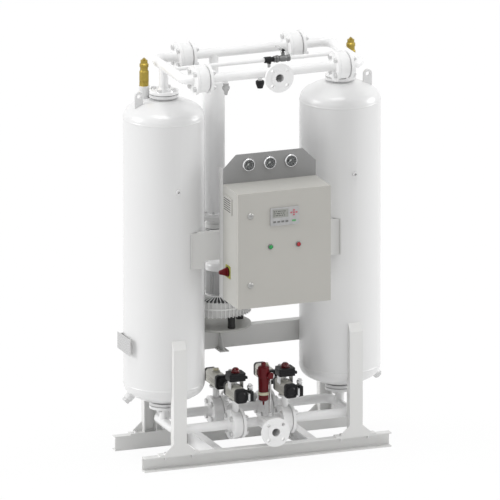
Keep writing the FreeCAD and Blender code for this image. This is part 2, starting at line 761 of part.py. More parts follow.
def rounded_bar(centre, length, width, height, radius):
    """A bar along Y with rounded long edges, standing on centre."""
    bar = block(centre.x - width / 2, centre.x + width / 2, centre.y - length / 2, centre.y + length / 2,
                centre.z, centre.z + height)
    long_edges = [e for e in bar.Edges if abs(e.tangentAt(e.FirstParameter).dot(Y)) > 0.99]
    return bar.makeFillet(radius, long_edges)


def actuator_bodies():
    """Rack and pinion housings: a rounded barrel with cooling grooves and a pinion boss on top."""
    pieces = []
    for place in valve_places():
        base = actuator_base(place)
        barrel = rounded_bar(base, ACTUATOR_L - 2 * CAP_L, ACTUATOR_W, ACTUATOR_H, ACTUATOR_ROUND)
        boss = rod(base + Z * (ACTUATOR_H - 1), Z, 7, 40)
        grooves = [block(side - 2, side + 2, place.y - ACTUATOR_L, place.y + ACTUATOR_L,
                         base.z + ACTUATOR_H * share - 1.5, base.z + ACTUATOR_H * share + 1.5)
                   for side in (place.x - ACTUATOR_W / 2, place.x + ACTUATOR_W / 2) for share in (0.38, 0.5, 0.62)]
        shaft = rod(base, Z, ACTUATOR_H + 6, STEM_D + 2 * STEM_CLEAR)
        pieces.append(barrel.fuse(boss).cut(fuse(grooves)).cut(shaft))
    return group(pieces)


def actuator_caps():
    """End caps of the actuators, each a rounded pad with a raised centre and four screw heads."""
    pieces = []
    for place in valve_places():
        base = actuator_base(place)
        for side in (-1, 1):
            middle = base + Y * (side * (ACTUATOR_L / 2 - CAP_L / 2))
            pad = rounded_bar(middle, CAP_L, ACTUATOR_W + 2, ACTUATOR_H + 1, 17)
            face = at(place.x, place.y + side * ACTUATOR_L / 2, base.z + ACTUATOR_H / 2)
            crown = turned([(0, -2), (24, -2), (24, 3), (18, 8), (0, 8)], face, Y * side)
            screws = [rod(face + X * dx + Z * dz, Y * side, 4, 9) for dx in (-22, 22) for dz in (-25, 25)]
            pieces.append(fuse([pad, crown] + screws))
    return group(pieces)


def coil_side(place):
    """The low corner of a pilot valve on its actuator: X of the seat, Y of the middle and Z of the foot."""
    base = actuator_base(place)
    return at(place.x + ACTUATOR_W / 2 + 1 + FIT, place.y + SOLENOID_SHIFT, base.z + COIL_LIFT)


def solenoid_valves():
    """A pilot valve block on the side of each actuator, with its square coil."""
    pieces = []
    for place in valve_places():
        seat = coil_side(place)
        coil_x = seat.x + SOLENOID_BLOCK_W
        block_part = block(seat.x, coil_x, seat.y - 35, seat.y + 35, seat.z + 8, seat.z + 46)
        coil = block(coil_x, coil_x + COIL_W, seat.y - 24, seat.y + 24, seat.z, seat.z + COIL_H)
        coil = coil.makeFillet(4, coil.Edges)
        override = rod(at(coil_x + COIL_W / 2, seat.y - 23, seat.z + COIL_H / 2), -Y, 7, 16)
        pieces.append(fuse([block_part, coil, override]))
    return group(pieces)


def coil_connectors():
    """Silver plug housings that stand on the coils, each with its cable gland."""
    pieces = []
    for place in valve_places():
        foot = coil_side(place) + X * (SOLENOID_BLOCK_W + COIL_W / 2) + Z * COIL_H
        axis = at(-0.15, -0.35, 0.9).normalize()
        r = PLUG_D / 2
        plug = turned([(0, -8), (r, -8), (r, PLUG_L * 0.55), (r + 2, PLUG_L * 0.6), (r + 2, PLUG_L - 3),
                       (r - 1, PLUG_L), (0, PLUG_L)], foot, axis)
        gland = hexagon(foot + axis * PLUG_L, axis, 20, 8)
        above = block(foot.x - 60, foot.x + 60, foot.y - 60, foot.y + 60, foot.z, foot.z + 90)
        pieces.append(fuse([plug, gland]).common(above))
    return group(pieces)


def switched_places():
    """The front valves, which carry position switches."""
    return [place for place in valve_places() if place.y == LOW_FRONT_Y]


def switch_brackets():
    """Folded straps that carry the position switch boxes over the actuators."""
    pieces = []
    for place in switched_places():
        base = actuator_base(place)
        low = base.z + ACTUATOR_H
        high = low + SWITCH_LIFT
        outer = BRACKET_W / 2
        inner = outer - BRACKET_T
        depth = BRACKET_DEPTH / 2
        strap = block(place.x - outer, place.x + outer, place.y - depth, place.y + depth,
                      low - BRACKET_DROP, high)
        strap = strap.cut(block(place.x - inner, place.x + inner, place.y - depth, place.y + depth,
                                low - BRACKET_DROP, high - BRACKET_T))
        strap = strap.cut(rod(at(place.x, place.y, low), Z, SWITCH_LIFT, STEM_D + 2))
        pieces.append(strap.cut(rounded_bar(base, ACTUATOR_L, ACTUATOR_W, ACTUATOR_H, ACTUATOR_ROUND)))
    return group(pieces)


def switch_base(place):
    return actuator_base(place) + Z * (ACTUATOR_H + SWITCH_LIFT)


def switch_boxes():
    """Position switch housings with a cover joint, corner screws and two gland ports."""
    pieces = []
    for place in switched_places():
        base = switch_base(place)
        shell = block(base.x - SWITCH_L / 2, base.x + SWITCH_L / 2, base.y - SWITCH_W / 2, base.y + SWITCH_W / 2,
                      base.z, base.z + SWITCH_H)
        uprights = [e for e in shell.Edges if abs(e.tangentAt(e.FirstParameter).dot(Z)) > 0.99]
        shell = shell.makeFillet(10, uprights)
        lip = block(base.x - SWITCH_L / 2 - 2, base.x + SWITCH_L / 2 + 2, base.y - SWITCH_W / 2 - 2,
                    base.y + SWITCH_W / 2 + 2, base.z + SWITCH_H * 0.55, base.z + SWITCH_H * 0.55 + 4)
        corners = [e for e in lip.Edges if abs(e.tangentAt(e.FirstParameter).dot(Z)) > 0.99]
        lip = lip.makeFillet(11, corners)
        glands = [rod(base + X * (SWITCH_L / 2 - 1) + Y * dy + Z * 12, X, 14, 16) for dy in (-18, 18)]
        cavity = rod(base, Z, SWITCH_H, INDICATOR_D + 4)
        pieces.append(fuse([shell, lip] + glands).cut(cavity))
    return group(pieces)


def indicator_domes():
    """Red transparent beacon covers over the position indicators."""
    pieces = []
    for place in switched_places():
        seat = switch_base(place) + Z * SWITCH_H
        r = DOME_D / 2
        outer = turned([(0, 0), (r + 3, 0), (r + 3, 3), (r, 4), (r, 8), (r * 0.86, DOME_H * 0.66),
                        (r * 0.5, DOME_H * 0.93), (0, DOME_H)], seat, Z)
        inner = turned([(0, 0), (r - 2, 0), (r - 2, 7), (r * 0.86 - 2, DOME_H * 0.66 - 1),
                        (r * 0.5 - 2, DOME_H * 0.93 - 2), (0, DOME_H - 2)], seat, Z)
        pieces.append(outer.cut(inner))
    return group(pieces)


def valve_rotor(place):
    """The turning piece of a switching valve: disc, stem and position indicator in one line."""
    disc = rod(place - X * (DISC_T / 2), X, DISC_T, DISC_D)
    low = place.z - VALVE_D / 2 + 3
    top = actuator_base(place).z + ACTUATOR_H + 8
    if place.y == LOW_FRONT_Y:
        top = switch_base(place).z + SWITCH_H + 6
    stem = rod(at(place.x, place.y, low), Z, top - low, STEM_D)
    drum = rod(at(place.x, place.y, top), Z, 9, INDICATOR_D)
    reach = INDICATOR_D / 2 - 3
    pointer = block(place.x - reach, place.x + reach, place.y - 2, place.y + 2, top + 8, top + 12)
    return fuse([disc, stem, drum, pointer])


# Control cabinet


def cabinet_body():
    """A welded steel box, open at the front: back, roof, floor, two walls and a turned-in rim."""
    half = CAB_W / 2
    y0 = BODY_FRONT_Y
    y1 = CAB_BACK_Y - CAB_T
    low = CAB_LOW + CAB_T
    high = CAB_TOP - CAB_T
    inner = half - CAB_T
    back = block(-half, half, y1, CAB_BACK_Y, CAB_LOW, CAB_TOP)
    roof = block(-half, half, y0, y1, high, CAB_TOP)
    floor = block(-half, half, y0, y1, CAB_LOW, low)
    right = block(inner, half, y0, y1, low, high)
    switch_hole = rod(at(-half, SWITCH_Y, SWITCH_Z), X, CAB_T, HANDLE_SHAFT_D + 4)
    vent_hole = block(-half, -inner, VENT_Y - VENT_W / 2 + 10, VENT_Y + VENT_W / 2 - 10,
                      VENT_Z - VENT_H / 2 + 10, VENT_Z + VENT_H / 2 - 10)
    left = block(-half, -inner, y0, y1, low, high).cut(fuse([switch_hole, vent_hole]))
    rims = [block(-inner, inner, y0, y0 + CAB_T, z0, z1) for z0, z1 in
            ((low, CAB_LOW + RIM), (CAB_TOP - RIM, high))]
    rims += [block(x0, x1, y0, y0 + CAB_T, CAB_LOW + RIM, CAB_TOP - RIM) for x0, x1 in
             ((-inner, -half + RIM), (half - RIM, inner))]
    return group([back, roof, floor, right, left] + rims)


def cabinet_door():
    """A pan-shaped door with cut-outs for the panel, the lamps and the latches."""
    half = CAB_W / 2
    back = CAB_FRONT_Y + DOOR_T
    pan = block(-half, half, CAB_FRONT_Y, back, CAB_LOW, CAB_TOP)
    corners = [e for e in pan.Edges if abs(e.tangentAt(e.FirstParameter).dot(Y)) > 0.99]
    pan = pan.makeFillet(3, corners)
    hollow = block(-half + DOOR_SKIN, half - DOOR_SKIN, CAB_FRONT_Y + DOOR_SKIN, back,
                   CAB_LOW + DOOR_SKIN, CAB_TOP - DOOR_SKIN)
    cuts = [hollow, block(-HMI_W / 2 + HMI_CUT, HMI_W / 2 - HMI_CUT, CAB_FRONT_Y, back,
                          HMI_Z - HMI_H / 2 + HMI_CUT, HMI_Z + HMI_H / 2 - HMI_CUT)]
    cuts += [rod(at(x, CAB_FRONT_Y, LAMP_Z), Y, DOOR_T, LAMP_D - 6) for x in (-LAMP_X, LAMP_X)]
    cuts += [rod(at(LATCH_X, CAB_FRONT_Y, z), Y, DOOR_T, LATCH_D + 2 * LATCH_CLEAR) for z in latch_heights()]
    return pan.cut(fuse(cuts))


def latch_heights():
    return [CAB_LOW + CAB_H / 2 + dz for dz in LATCH_OFFSETS]


def door_seal():
    """The foamed gasket bonded inside the door, which meets the cabinet rim."""
    y0 = CAB_FRONT_Y + DOOR_SKIN
    y1 = BODY_FRONT_Y - FIT
    edge = 6
    wide = 10
    half = CAB_W / 2
    outer = block(-half + edge, half - edge, y0, y1, CAB_LOW + edge, CAB_TOP - edge)
    inner = block(-half + edge + wide, half - edge - wide, y0, y1, CAB_LOW + edge + wide, CAB_TOP - edge - wide)
    return outer.cut(inner)


def hinge_heights():
    return [CAB_LOW + 90, CAB_TOP - 90 - HINGE_L]


def cabinet_hinges():
    """Fixed hinge leaves with their knuckles and pins, on the right wall."""
    pieces = []
    wall = CAB_W / 2
    for z in hinge_heights():
        leaf = block(wall, wall + HINGE_LEAF_T, HINGE_Y + 2, HINGE_Y + 26, z, z + HINGE_L / 2)
        neck = block(wall, HINGE_X, HINGE_Y + 1, HINGE_Y + 3, z, z + HINGE_L / 2)
        knuckle = rod(at(HINGE_X, HINGE_Y, z), Z, HINGE_L / 2, HINGE_D)
        pin = rod(at(HINGE_X, HINGE_Y, z), Z, HINGE_L - 2, HINGE_PIN_D)
        pieces.append(whole([leaf, neck, knuckle, pin]))
    return group(pieces)


def door_hinge_leaves():
    """The halves of the hinges that turn with the door."""
    pieces = []
    wall = CAB_W / 2
    for z in hinge_heights():
        low = z + HINGE_L / 2 + FIT
        high = z + HINGE_L
        leaf = block(wall, wall + HINGE_LEAF_T, CAB_FRONT_Y + 4, HINGE_Y - 1.5, low, high)
        neck = block(wall, HINGE_X, HINGE_Y - 3, HINGE_Y - 1.5, low, high)
        knuckle = rod(at(HINGE_X, HINGE_Y, low), Z, high - low, HINGE_D)
        hole = rod(at(HINGE_X, HINGE_Y, low), Z, high - low, HINGE_PIN_D + 0.1)
        pieces.append(whole([leaf, neck, knuckle]).cut(hole))
    return group(pieces)


def latch(z):
    """A quarter-turn latch: flush head with a key slot, barrel and a short pawl."""
    barrel = rod(at(LATCH_X, CAB_FRONT_Y, z), Y, 30, LATCH_D)
    head = turned([(0, 0), (LATCH_D / 2 + 5, 0), (LATCH_D / 2 + 5, 2), (LATCH_D / 2 + 2, 5), (0, 5)],
                  at(LATCH_X, CAB_FRONT_Y, z), -Y)
    slot = block(LATCH_X - 7, LATCH_X + 7, CAB_FRONT_Y - 5, CAB_FRONT_Y - 1, z - 1.5, z + 1.5)
    pawl_y = CAB_FRONT_Y + 26
    reach = CAB_W / 2 - RIM + LATCH_X - 2
    pawl = block(LATCH_X - reach, LATCH_X, pawl_y, pawl_y + 3, z - 9, z + 9)
    tip = rod(at(LATCH_X - reach + 4, pawl_y - 2, z), Y, 5, 8)
    return whole([barrel, head, pawl, tip]).cut(slot)


def mounting_plate():
    """The galvanised back plate inside the cabinet, on four standoffs."""
    plate_y = CAB_BACK_Y - CAB_T - 14
    half = CAB_W / 2 - PLATE_MARGIN
    low = CAB_LOW + PLATE_MARGIN
    high = CAB_TOP - PLATE_MARGIN
    sheet = block(-half, half, plate_y - 2, plate_y, low, high)
    posts = [rod(at(x, plate_y, z), Y, 14, 12) for x in (-half + 20, half - 20) for z in (low + 20, high - 20)]
    return fuse([sheet] + posts)


def control_gear():
    """Rail-mounted devices on the back plate: controller, breakers, contactor and terminals."""
    back = CAB_BACK_Y - CAB_T - 16 - 8
    rows = [(CAB_LOW + GEAR_ROW_HIGH, ((-150, 90), (-50, 60), (20, 18), (40, 18), (60, 18), (110, 45))),
            (CAB_LOW + GEAR_ROW_LOW, ((-160, 45), (-105, 45), (-40, 70), (60, 90)))]
    pieces = []
    for z, devices in rows:
        pieces.append(block(-GEAR_RAIL_L / 2, GEAR_RAIL_L / 2, back, back + 8, z - 17, z + 17))
        for x, wide in devices:
            body = block(x, x + wide, back - 70, back, z - 45, z + 45)
            nose = block(x, x + wide, back - 82, back - 70, z - 22, z + 22)
            pieces.append(body.fuse(nose))
    strip = [block(-180 + 9 * k, -172.5 + 9 * k, back - 40, back + 8, CAB_LOW + 70, CAB_LOW + 115) for k in range(36)]
    return group(pieces + strip)


def operator_panel():
    """The panel housing: a proud bezel with a display window and a back box through the door."""
    front = CAB_FRONT_Y - HMI_PROUD
    bezel = block(-HMI_W / 2, HMI_W / 2, front, CAB_FRONT_Y, HMI_Z - HMI_H / 2, HMI_Z + HMI_H / 2)
    edges = [e for e in bezel.Edges if abs(e.tangentAt(e.FirstParameter).dot(Y)) > 0.99]
    bezel = bezel.makeFillet(5, edges)
    inset = HMI_CUT + 1
    box_part = block(-HMI_W / 2 + inset, HMI_W / 2 - inset, CAB_FRONT_Y, CAB_FRONT_Y + HMI_BACK,
                     HMI_Z - HMI_H / 2 + inset, HMI_Z + HMI_H / 2 - inset)
    window = block(SCREEN_LEFT, SCREEN_LEFT + SCREEN_W, front, front + 2, SCREEN_LOW, SCREEN_LOW + SCREEN_H)
    return bezel.fuse(box_part).cut(window)


def display_screen():
    y = CAB_FRONT_Y - HMI_PROUD
    return block(SCREEN_LEFT + FIT, SCREEN_LEFT + SCREEN_W - FIT, y + 0.5, y + 2 - FIT, SCREEN_LOW + FIT,
                 SCREEN_LOW + SCREEN_H - FIT)


def keypad():
    """Fixed touch keys: four under the display, a direction cross and one enter key on the right."""
    y = CAB_FRONT_Y - HMI_PROUD
    places = [(-56 + 22 * k, HMI_Z - 26, 15, 9) for k in range(4)]
    cross_x = 48
    cross_z = HMI_Z + 16
    places += [(cross_x + dx, cross_z + dz, 10, 8) for dx, dz in ((-14, 0), (14, 0), (0, 12), (0, -12), (0, 0))]
    places.append((cross_x, HMI_Z - 26, 20, 9))
    pieces = []
    for x, z, wide, high in places:
        key = block(x - wide / 2, x + wide / 2, y - KEY_T, y, z - high / 2, z + high / 2)
        pieces.append(key)
    return group(pieces)


def lamp_bezels():
    pieces = []
    for x in (-LAMP_X, LAMP_X):
        seat = at(x, CAB_FRONT_Y, LAMP_Z)
        rim = turned([(LAMP_D / 2 - 3.5, 0), (LAMP_D / 2, 0), (LAMP_D / 2, 3), (LAMP_D / 2 - 2, 5),
                      (LAMP_D / 2 - 3.5, 5)], seat, -Y)
        holder = ring(seat, Y, 40, LAMP_D - 6.4, LAMP_D - 11)
        pieces.append(fuse([rim, holder]))
    return group(pieces)


def lamp_lens(x):
    r = LAMP_D / 2 - 3.5 - FIT
    seat = at(x, CAB_FRONT_Y, LAMP_Z)
    return turned([(0, -6), (LAMP_D / 2 - 5.5 - FIT, -6), (LAMP_D / 2 - 5.5 - FIT, 0), (r, 0), (r, 8),
                   (r * 0.8, 10.5), (r * 0.4, 12), (0, 12.4)], seat, -Y)


def switch_plate():
    """The yellow plate of the main switch with its guard ring."""
    x = -CAB_W / 2
    half = SWITCH_PLATE / 2
    plate = block(x - 3, x, SWITCH_Y - half, SWITCH_Y + half, SWITCH_Z - half, SWITCH_Z + half)
    edges = [e for e in plate.Edges if abs(e.tangentAt(e.FirstParameter).dot(X)) > 0.99]
    plate = plate.makeFillet(5, edges)
    collar = ring(at(x - 6, SWITCH_Y, SWITCH_Z), X, 3, HANDLE_D + 8, HANDLE_D + 2)
    hole = rod(at(x - 6, SWITCH_Y, SWITCH_Z), X, 6, HANDLE_SHAFT_D + 2 * LATCH_CLEAR)
    return plate.fuse(collar).cut(hole)


def switch_body():
    """The contact block behind the wall, which carries the handle shaft."""
    x = -CAB_W / 2 + CAB_T
    body = block(x, x + 70, SWITCH_Y - 30, SWITCH_Y + 30, SWITCH_Z - 30, SWITCH_Z + 30)
    return body.cut(rod(at(x, SWITCH_Y, SWITCH_Z), X, 40, HANDLE_SHAFT_D + 2 * LATCH_CLEAR))


def switch_handle():
    """The red conical handle with two grip flats and its shaft."""
    seat = at(-CAB_W / 2 - 3 - FIT, SWITCH_Y, SWITCH_Z)
    r = HANDLE_D / 2
    knob = turned([(0, 0), (r, 0), (r, 8), (r * 0.62, 30), (r * 0.5, HANDLE_H - 4), (r * 0.36, HANDLE_H),
                   (0, HANDLE_H)], seat, -X)
    grip_cut = [block(seat.x - HANDLE_H, seat.x - 8, SWITCH_Y + y, SWITCH_Y + y + 2 * r, SWITCH_Z - 2 * r,
                      SWITCH_Z + 2 * r) for y in (8, -8 - 2 * r)]
    shaft = rod(seat, X, 3 + FIT + CAB_T + 36, HANDLE_SHAFT_D)
    return fuse([knob.cut(fuse(grip_cut)), shaft])


def vent_cover():
    """A shallow louvred cover on the left wall, over its cut-out."""
    x = -CAB_W / 2
    cover = block(x - 6, x, VENT_Y - VENT_W / 2, VENT_Y + VENT_W / 2, VENT_Z - VENT_H / 2, VENT_Z + VENT_H / 2)
    edges = [e for e in cover.Edges if abs(e.tangentAt(e.FirstParameter).dot(X)) > 0.99]
    return cover.makeFillet(4, edges)


# Gauge panel

def gauge_panel():
    """The folded front plate that carries the cabinet and the gauges, with chamfered top corners."""
    half = CAB_W / 2
    top = CAB_TOP + GAUGE_PLATE_H
    y = CAB_BACK_Y
    outline = [at(-half, y, CAB_LOW), at(half, y, CAB_LOW), at(half, y, top - GAUGE_CHAMFER),
               at(half - GAUGE_CHAMFER, y, top), at(-half + GAUGE_CHAMFER, y, top),
               at(-half, y, top - GAUGE_CHAMFER)]
    plate = prism(outline, Y * GAUGE_PLATE_T)
    holes = [rod(at(x, y, GAUGE_Z), Y, GAUGE_PLATE_T, GAUGE_D - 4) for x in gauge_places()]
    return plate.cut(fuse(holes))


def gauge_places():
    return [-GAUGE_X, 0.0, GAUGE_X]


def side_brackets():
    """White side flanges from the panel back to the cross band."""
    half = CAB_W / 2
    y0 = CAB_BACK_Y + GAUGE_PLATE_T
    y1 = BAND_Y - BAND_T / 2
    top = CAB_TOP + GAUGE_PLATE_H - GAUGE_CHAMFER
    wall = block(half - 3, half, y0, y1, CAB_LOW, top)
    lip = block(half - 30, half, y0, y0 + 3, CAB_LOW, top)
    foot = block(half - 30, half, y1 - 3, y1, BAND_NOTCH_TOP, BAND_TOP)
    return both_sides(whole([wall, lip, foot]))


def cross_band():
    """The plate between the towers that carries the panel, with folded edges and welded end tabs."""
    y0 = BAND_Y - BAND_T / 2
    y1 = BAND_Y + BAND_T / 2
    outline = [at(-BAND_X, y0, BAND_LOW), at(-BAND_NOTCH_X, y0, BAND_LOW), at(-BAND_NOTCH_X, y0, BAND_NOTCH_TOP),
               at(BAND_NOTCH_X, y0, BAND_NOTCH_TOP), at(BAND_NOTCH_X, y0, BAND_LOW), at(BAND_X, y0, BAND_LOW),
               at(BAND_X, y0, BAND_TOP), at(-BAND_X, y0, BAND_TOP)]
    plate = prism(outline, Y * BAND_T)
    ribs = [block(-reach, reach, y1, y1 + 25, z, z + BAND_T) for reach, z in
            ((BAND_NOTCH_X, BAND_NOTCH_TOP), (BAND_X - 40, BAND_TOP - BAND_T))]
    tabs = [block(x, x + BAND_T, y0 - 10, y1 + 45, BAND_LOW, BAND_TOP) for x in (-BAND_X, BAND_X - BAND_T)]
    band = whole([plate] + ribs + tabs)
    shells = [vessel_form(x, FIT) for x in (-TOWER_X, TOWER_X)]
    pieces = band.cut(shells[0]).cut(shells[1])
    return max(pieces.Solids, key=lambda s: s.Volume)


def gauge_cases():
    """Gauge cups with chromed bezels; each has a connection stub at the back."""
    pieces = []
    for x in gauge_places():
        seat = at(x, CAB_BACK_Y, GAUGE_Z)
        bezel = turned([(DIAL_D / 2, 0), (GAUGE_D / 2, 0), (GAUGE_D / 2, 8), (GAUGE_D / 2 - 3, 12),
                        (DIAL_D / 2, 12)], seat, -Y)
        cup = rod(seat, Y, GAUGE_BODY_L, GAUGE_D - 6)
        hollow = rod(seat, Y, 4, DIAL_D)
        stub = rod(seat + Y * GAUGE_BODY_L, Y, 24, 14)
        nut = hexagon(seat + Y * GAUGE_BODY_L, Y, 17, 12)
        pin_hole = rod(seat, Y, 16, 3.1)
        pieces.append(fuse([bezel, cup.cut(hollow), stub, nut]).cut(pin_hole))
    return group(pieces)


def gauge_dials():
    pieces = []
    for x in gauge_places():
        seat = at(x, CAB_BACK_Y + 4, GAUGE_Z)
        dial = rod(seat - Y * 1, Y, 1, DIAL_D - 2 * FIT)
        pieces.append(dial.cut(rod(seat - Y, Y, 1, 4)))
    return group(pieces)


def gauge_glasses():
    return group([rod(at(x, CAB_BACK_Y - 10, GAUGE_Z), Y, 2, DIAL_D - 2 * FIT) for x in gauge_places()])


def gauge_needle(x):
    """A pointer with its tail and arbor; it rests at the low end of the scale."""
    y = CAB_BACK_Y + 3 - NEEDLE_GAP - 1
    seat = at(x, y, GAUGE_Z)
    arbor = rod(seat, Y, 14, 3)
    hub = rod(seat - Y, Y, 2, 9)
    angle = radians(225)
    tip = seat + at(cos(angle), 0, sin(angle)) * 24
    side = at(-sin(angle), 0, cos(angle)) * 1.6
    tail = seat - at(cos(angle), 0, sin(angle)) * 8
    pointer = prism([tip, seat + side, tail + side, tail - side, seat - side], Y * 1)
    return fuse([arbor, hub, pointer])


# Blower and heater


def blower_base():
    """The round base plate on the beam."""
    return rod(at(BLOWER_X, BLOWER_Y, BLOWER_BASE_Z), Z, BLOWER_BASE_T, BLOWER_D)


def blower_feet():
    """Rubber mounts between the base plate and the housing."""
    low = BLOWER_BASE_Z + BLOWER_BASE_T
    return group([turned([(0, 0), (RUBBER_FOOT_D / 2, 0), (RUBBER_FOOT_D / 2 - 2, (BLOWER_LOW - low) / 2),
                          (RUBBER_FOOT_D / 2, BLOWER_LOW - low), (0, BLOWER_LOW - low)],
                         at(BLOWER_X + 130 * cos(radians(a)), BLOWER_Y + 130 * sin(radians(a)), low), Z)
                  for a in (-79, 11, 101, 191)])


def blower_housing():
    """The side channel housing: two ribbed halves with a parting flange and radial fins on top."""
    r = BLOWER_D / 2
    height = BLOWER_HIGH - BLOWER_LOW
    seat = at(BLOWER_X, BLOWER_Y, BLOWER_LOW)
    body = turned([(0, 0), (r - 22, 0), (r - 12, 8), (r - 10, height / 2 - 3), (r, height / 2 - 3),
                   (r, height / 2 + 3), (r - 10, height / 2 + 3), (r - 14, height - 16), (r - 34, height - 8),
                   (MOTOR_D / 2 + 8, height - 8), (MOTOR_D / 2 + 4, height), (0, height)], seat, Z)
    cavity = turned([(SHAFT_D / 2 + 0.05, 16), (CAVITY_R, 16), (CAVITY_R, height - 20),
                     (SHAFT_D / 2 + 0.05, height - 20)], seat, Z)
    bore = rod(seat + Z * 10, Z, height - 10, SHAFT_D + 0.1)
    rib_top = [at(r - 16, -FIN_T / 2, height / 2), at(r - 3, -FIN_T / 2, height / 2),
               at(r - 3, -FIN_T / 2, height - 16), at(r - 12, -FIN_T / 2, height - 4),
               at(MOTOR_D / 2 + 10, -FIN_T / 2, height), at(MOTOR_D / 2 + 10, -FIN_T / 2, height - 10),
               at(r - 36, -FIN_T / 2, height - 12)]
    rib_low = [at(r - 30, -FIN_T / 2, height / 2), at(r - 30, -FIN_T / 2, 1), at(r, -FIN_T / 2, 1),
               at(r, -FIN_T / 2, height / 2)]
    fins = []
    for k in range(FIN_COUNT):
        for outline in (rib_top, rib_low):
            piece = prism(outline, Y * FIN_T)
            piece.rotate(at(0, 0, 0), Z, 360 * k / FIN_COUNT)
            piece.translate(seat)
            fins.append(piece)
    port_foot = at(HEATER_X, DUCT_Y, BLOWER_HIGH - PORT_SINK)
    port = rod(port_foot, Z, PORT_SINK + 10, PIPE_D + 16)
    port_bore = rod(port_foot - Z * 4, Z, PORT_SINK + 14, PIPE_BORE)
    return body.cut(cavity).cut(bore).fuse(fins + [port]).cut(port_bore)


def blower_rotor():
    """The impeller, a disc with pocket blades round its rim, on the motor shaft."""
    height = BLOWER_HIGH - BLOWER_LOW
    seat = at(BLOWER_X, BLOWER_Y, BLOWER_LOW)
    rim = CAVITY_R - IMPELLER_CLEAR
    thick = height - 36 - 2 * IMPELLER_CLEAR
    hub = rod(seat + Z * (16 + IMPELLER_CLEAR), Z, thick, 60)
    disc = turned([(0, 16 + height / 4), (rim - 2, 16 + height / 4), (rim - 2, 20 + height / 4),
                   (0, 20 + height / 4)], seat, Z)
    blades = []
    for k in range(BLADE_COUNT):
        blade = block(rim - 34, rim, -1.5, 1.5, 16 + IMPELLER_CLEAR, 16 + IMPELLER_CLEAR + thick)
        blade.rotate(at(0, 0, 0), Z, 360 * k / BLADE_COUNT)
        blade.translate(seat)
        blades.append(blade)
    shaft = rod(seat + Z * 11, Z, MOTOR_TOP - BLOWER_LOW - 15, SHAFT_D)
    return fuse([hub, disc, shaft] + blades)


def motor():
    """The ribbed motor casing, bored for the shaft."""
    seat = at(BLOWER_X, BLOWER_Y, BLOWER_HIGH)
    high = MOTOR_TOP - BLOWER_HIGH
    core = rod(seat, Z, high, MOTOR_D - 16)
    ribs = []
    for k in range(28):
        rib = block(MOTOR_D / 2 - 12, MOTOR_D / 2, -1.5, 1.5, 4, high - 2)
        rib.rotate(at(0, 0, 0), Z, 360 * k / 28)
        rib.translate(seat)
        ribs.append(rib)
    foot = rod(seat, Z, 6, MOTOR_D + 8)
    terminal = block(seat.x + 30, seat.x + MOTOR_D / 2 + 30, seat.y - 32, seat.y + 32, seat.z + 34, seat.z + 94)
    bore = rod(seat, Z, high - 3, SHAFT_D + 0.1)
    return core.fuse(ribs + [foot, terminal]).cut(bore)


def fan_cowl():
    """The rounded cowl over the motor fan, with ring slots on top."""
    r = COWL_D / 2
    high = COWL_TOP - MOTOR_TOP
    seat = at(BLOWER_X, BLOWER_Y, MOTOR_TOP)
    cowl = turned([(0, 0), (r, 0), (r, high - 14), (r - 4, high - 6), (r - 14, high), (0, high)], seat, Z)
    slots = [turned([(s, high - 2), (s + 3, high - 2), (s + 3, high), (s, high)], seat, Z) for s in (14, 24, 34)]
    return cowl.cut(fuse(slots))


def blower_beam():
    """A channel between the towers with the support plate, a foot bracket and end coping."""
    low = BEAM_TOP - BEAM_H
    back = BEAM_Y + BEAM_DEPTH
    web = BEAM_Y + RAIL_T
    reach = TOWER_X
    section = [at(-reach, BEAM_Y, low), at(-reach, back, low), at(-reach, back, low + RAIL_T),
               at(-reach, web, low + RAIL_T), at(-reach, web, BEAM_TOP - RAIL_T),
               at(-reach, back, BEAM_TOP - RAIL_T), at(-reach, back, BEAM_TOP), at(-reach, BEAM_Y, BEAM_TOP)]
    beam = prism(section, X * (2 * reach))
    for x in (-TOWER_X, TOWER_X):
        beam = beam.cut(vessel_form(x, FIT))
    beam = max(beam.Solids, key=lambda s: s.Volume)
    foot = block(FOOT_BRACKET_X, FOOT_BRACKET_X + 48, BEAM_Y - 80, BEAM_Y, low, low + 5)
    rib_x = FOOT_BRACKET_X + 22
    rib = prism([at(rib_x, BEAM_Y, low), at(rib_x, BEAM_Y - 76, low), at(rib_x, BEAM_Y - 20, BEAM_TOP - 12),
                 at(rib_x, BEAM_Y, BEAM_TOP - 12)], X * 5)
    return whole([beam, foot, rib])


def heater_shell():
    """The heater tube with its lower flange, upper reducer and the duct inlet."""
    flange_top = HEATER_LOW + FLANGE_T
    seat = at(HEATER_X, TOP_REAR_Y, HEATER_LOW)
    high = HEATER_HIGH - HEATER_LOW
    r = HEATER_D / 2
    outer = turned([(0, 0), (HEATER_FLANGE_D / 2, 0), (HEATER_FLANGE_D / 2, FLANGE_T), (r, FLANGE_T),
                    (r, high - 40), (PIPE_D / 2, high), (0, high)], seat, Z)
    inner = turned([(0, 0), (r - 4, 0), (r - 4, high - 41), (PIPE_BORE / 2, high - 1), (PIPE_BORE / 2, high),
                    (0, high)], seat, Z)
    stub = rod(at(HEATER_X, TOP_REAR_Y, DUCT_Z), Y, r + 26, PIPE_D)
    stub_bore = rod(at(HEATER_X, TOP_REAR_Y, DUCT_Z), Y, r + 26, PIPE_BORE)
    holes = [rod(p, Z, FLANGE_T, HEATER_BOLT_D + 2) for p in bolt_places(seat, Z, HEATER_FLANGE_D - 20, 8)]
    return outer.fuse(stub).cut(inner).cut(fuse([stub_bore] + holes)).common(
        block(seat.x - 200, seat.x + 200, seat.y - 200, seat.y + 200, HEATER_LOW, flange_top + high))


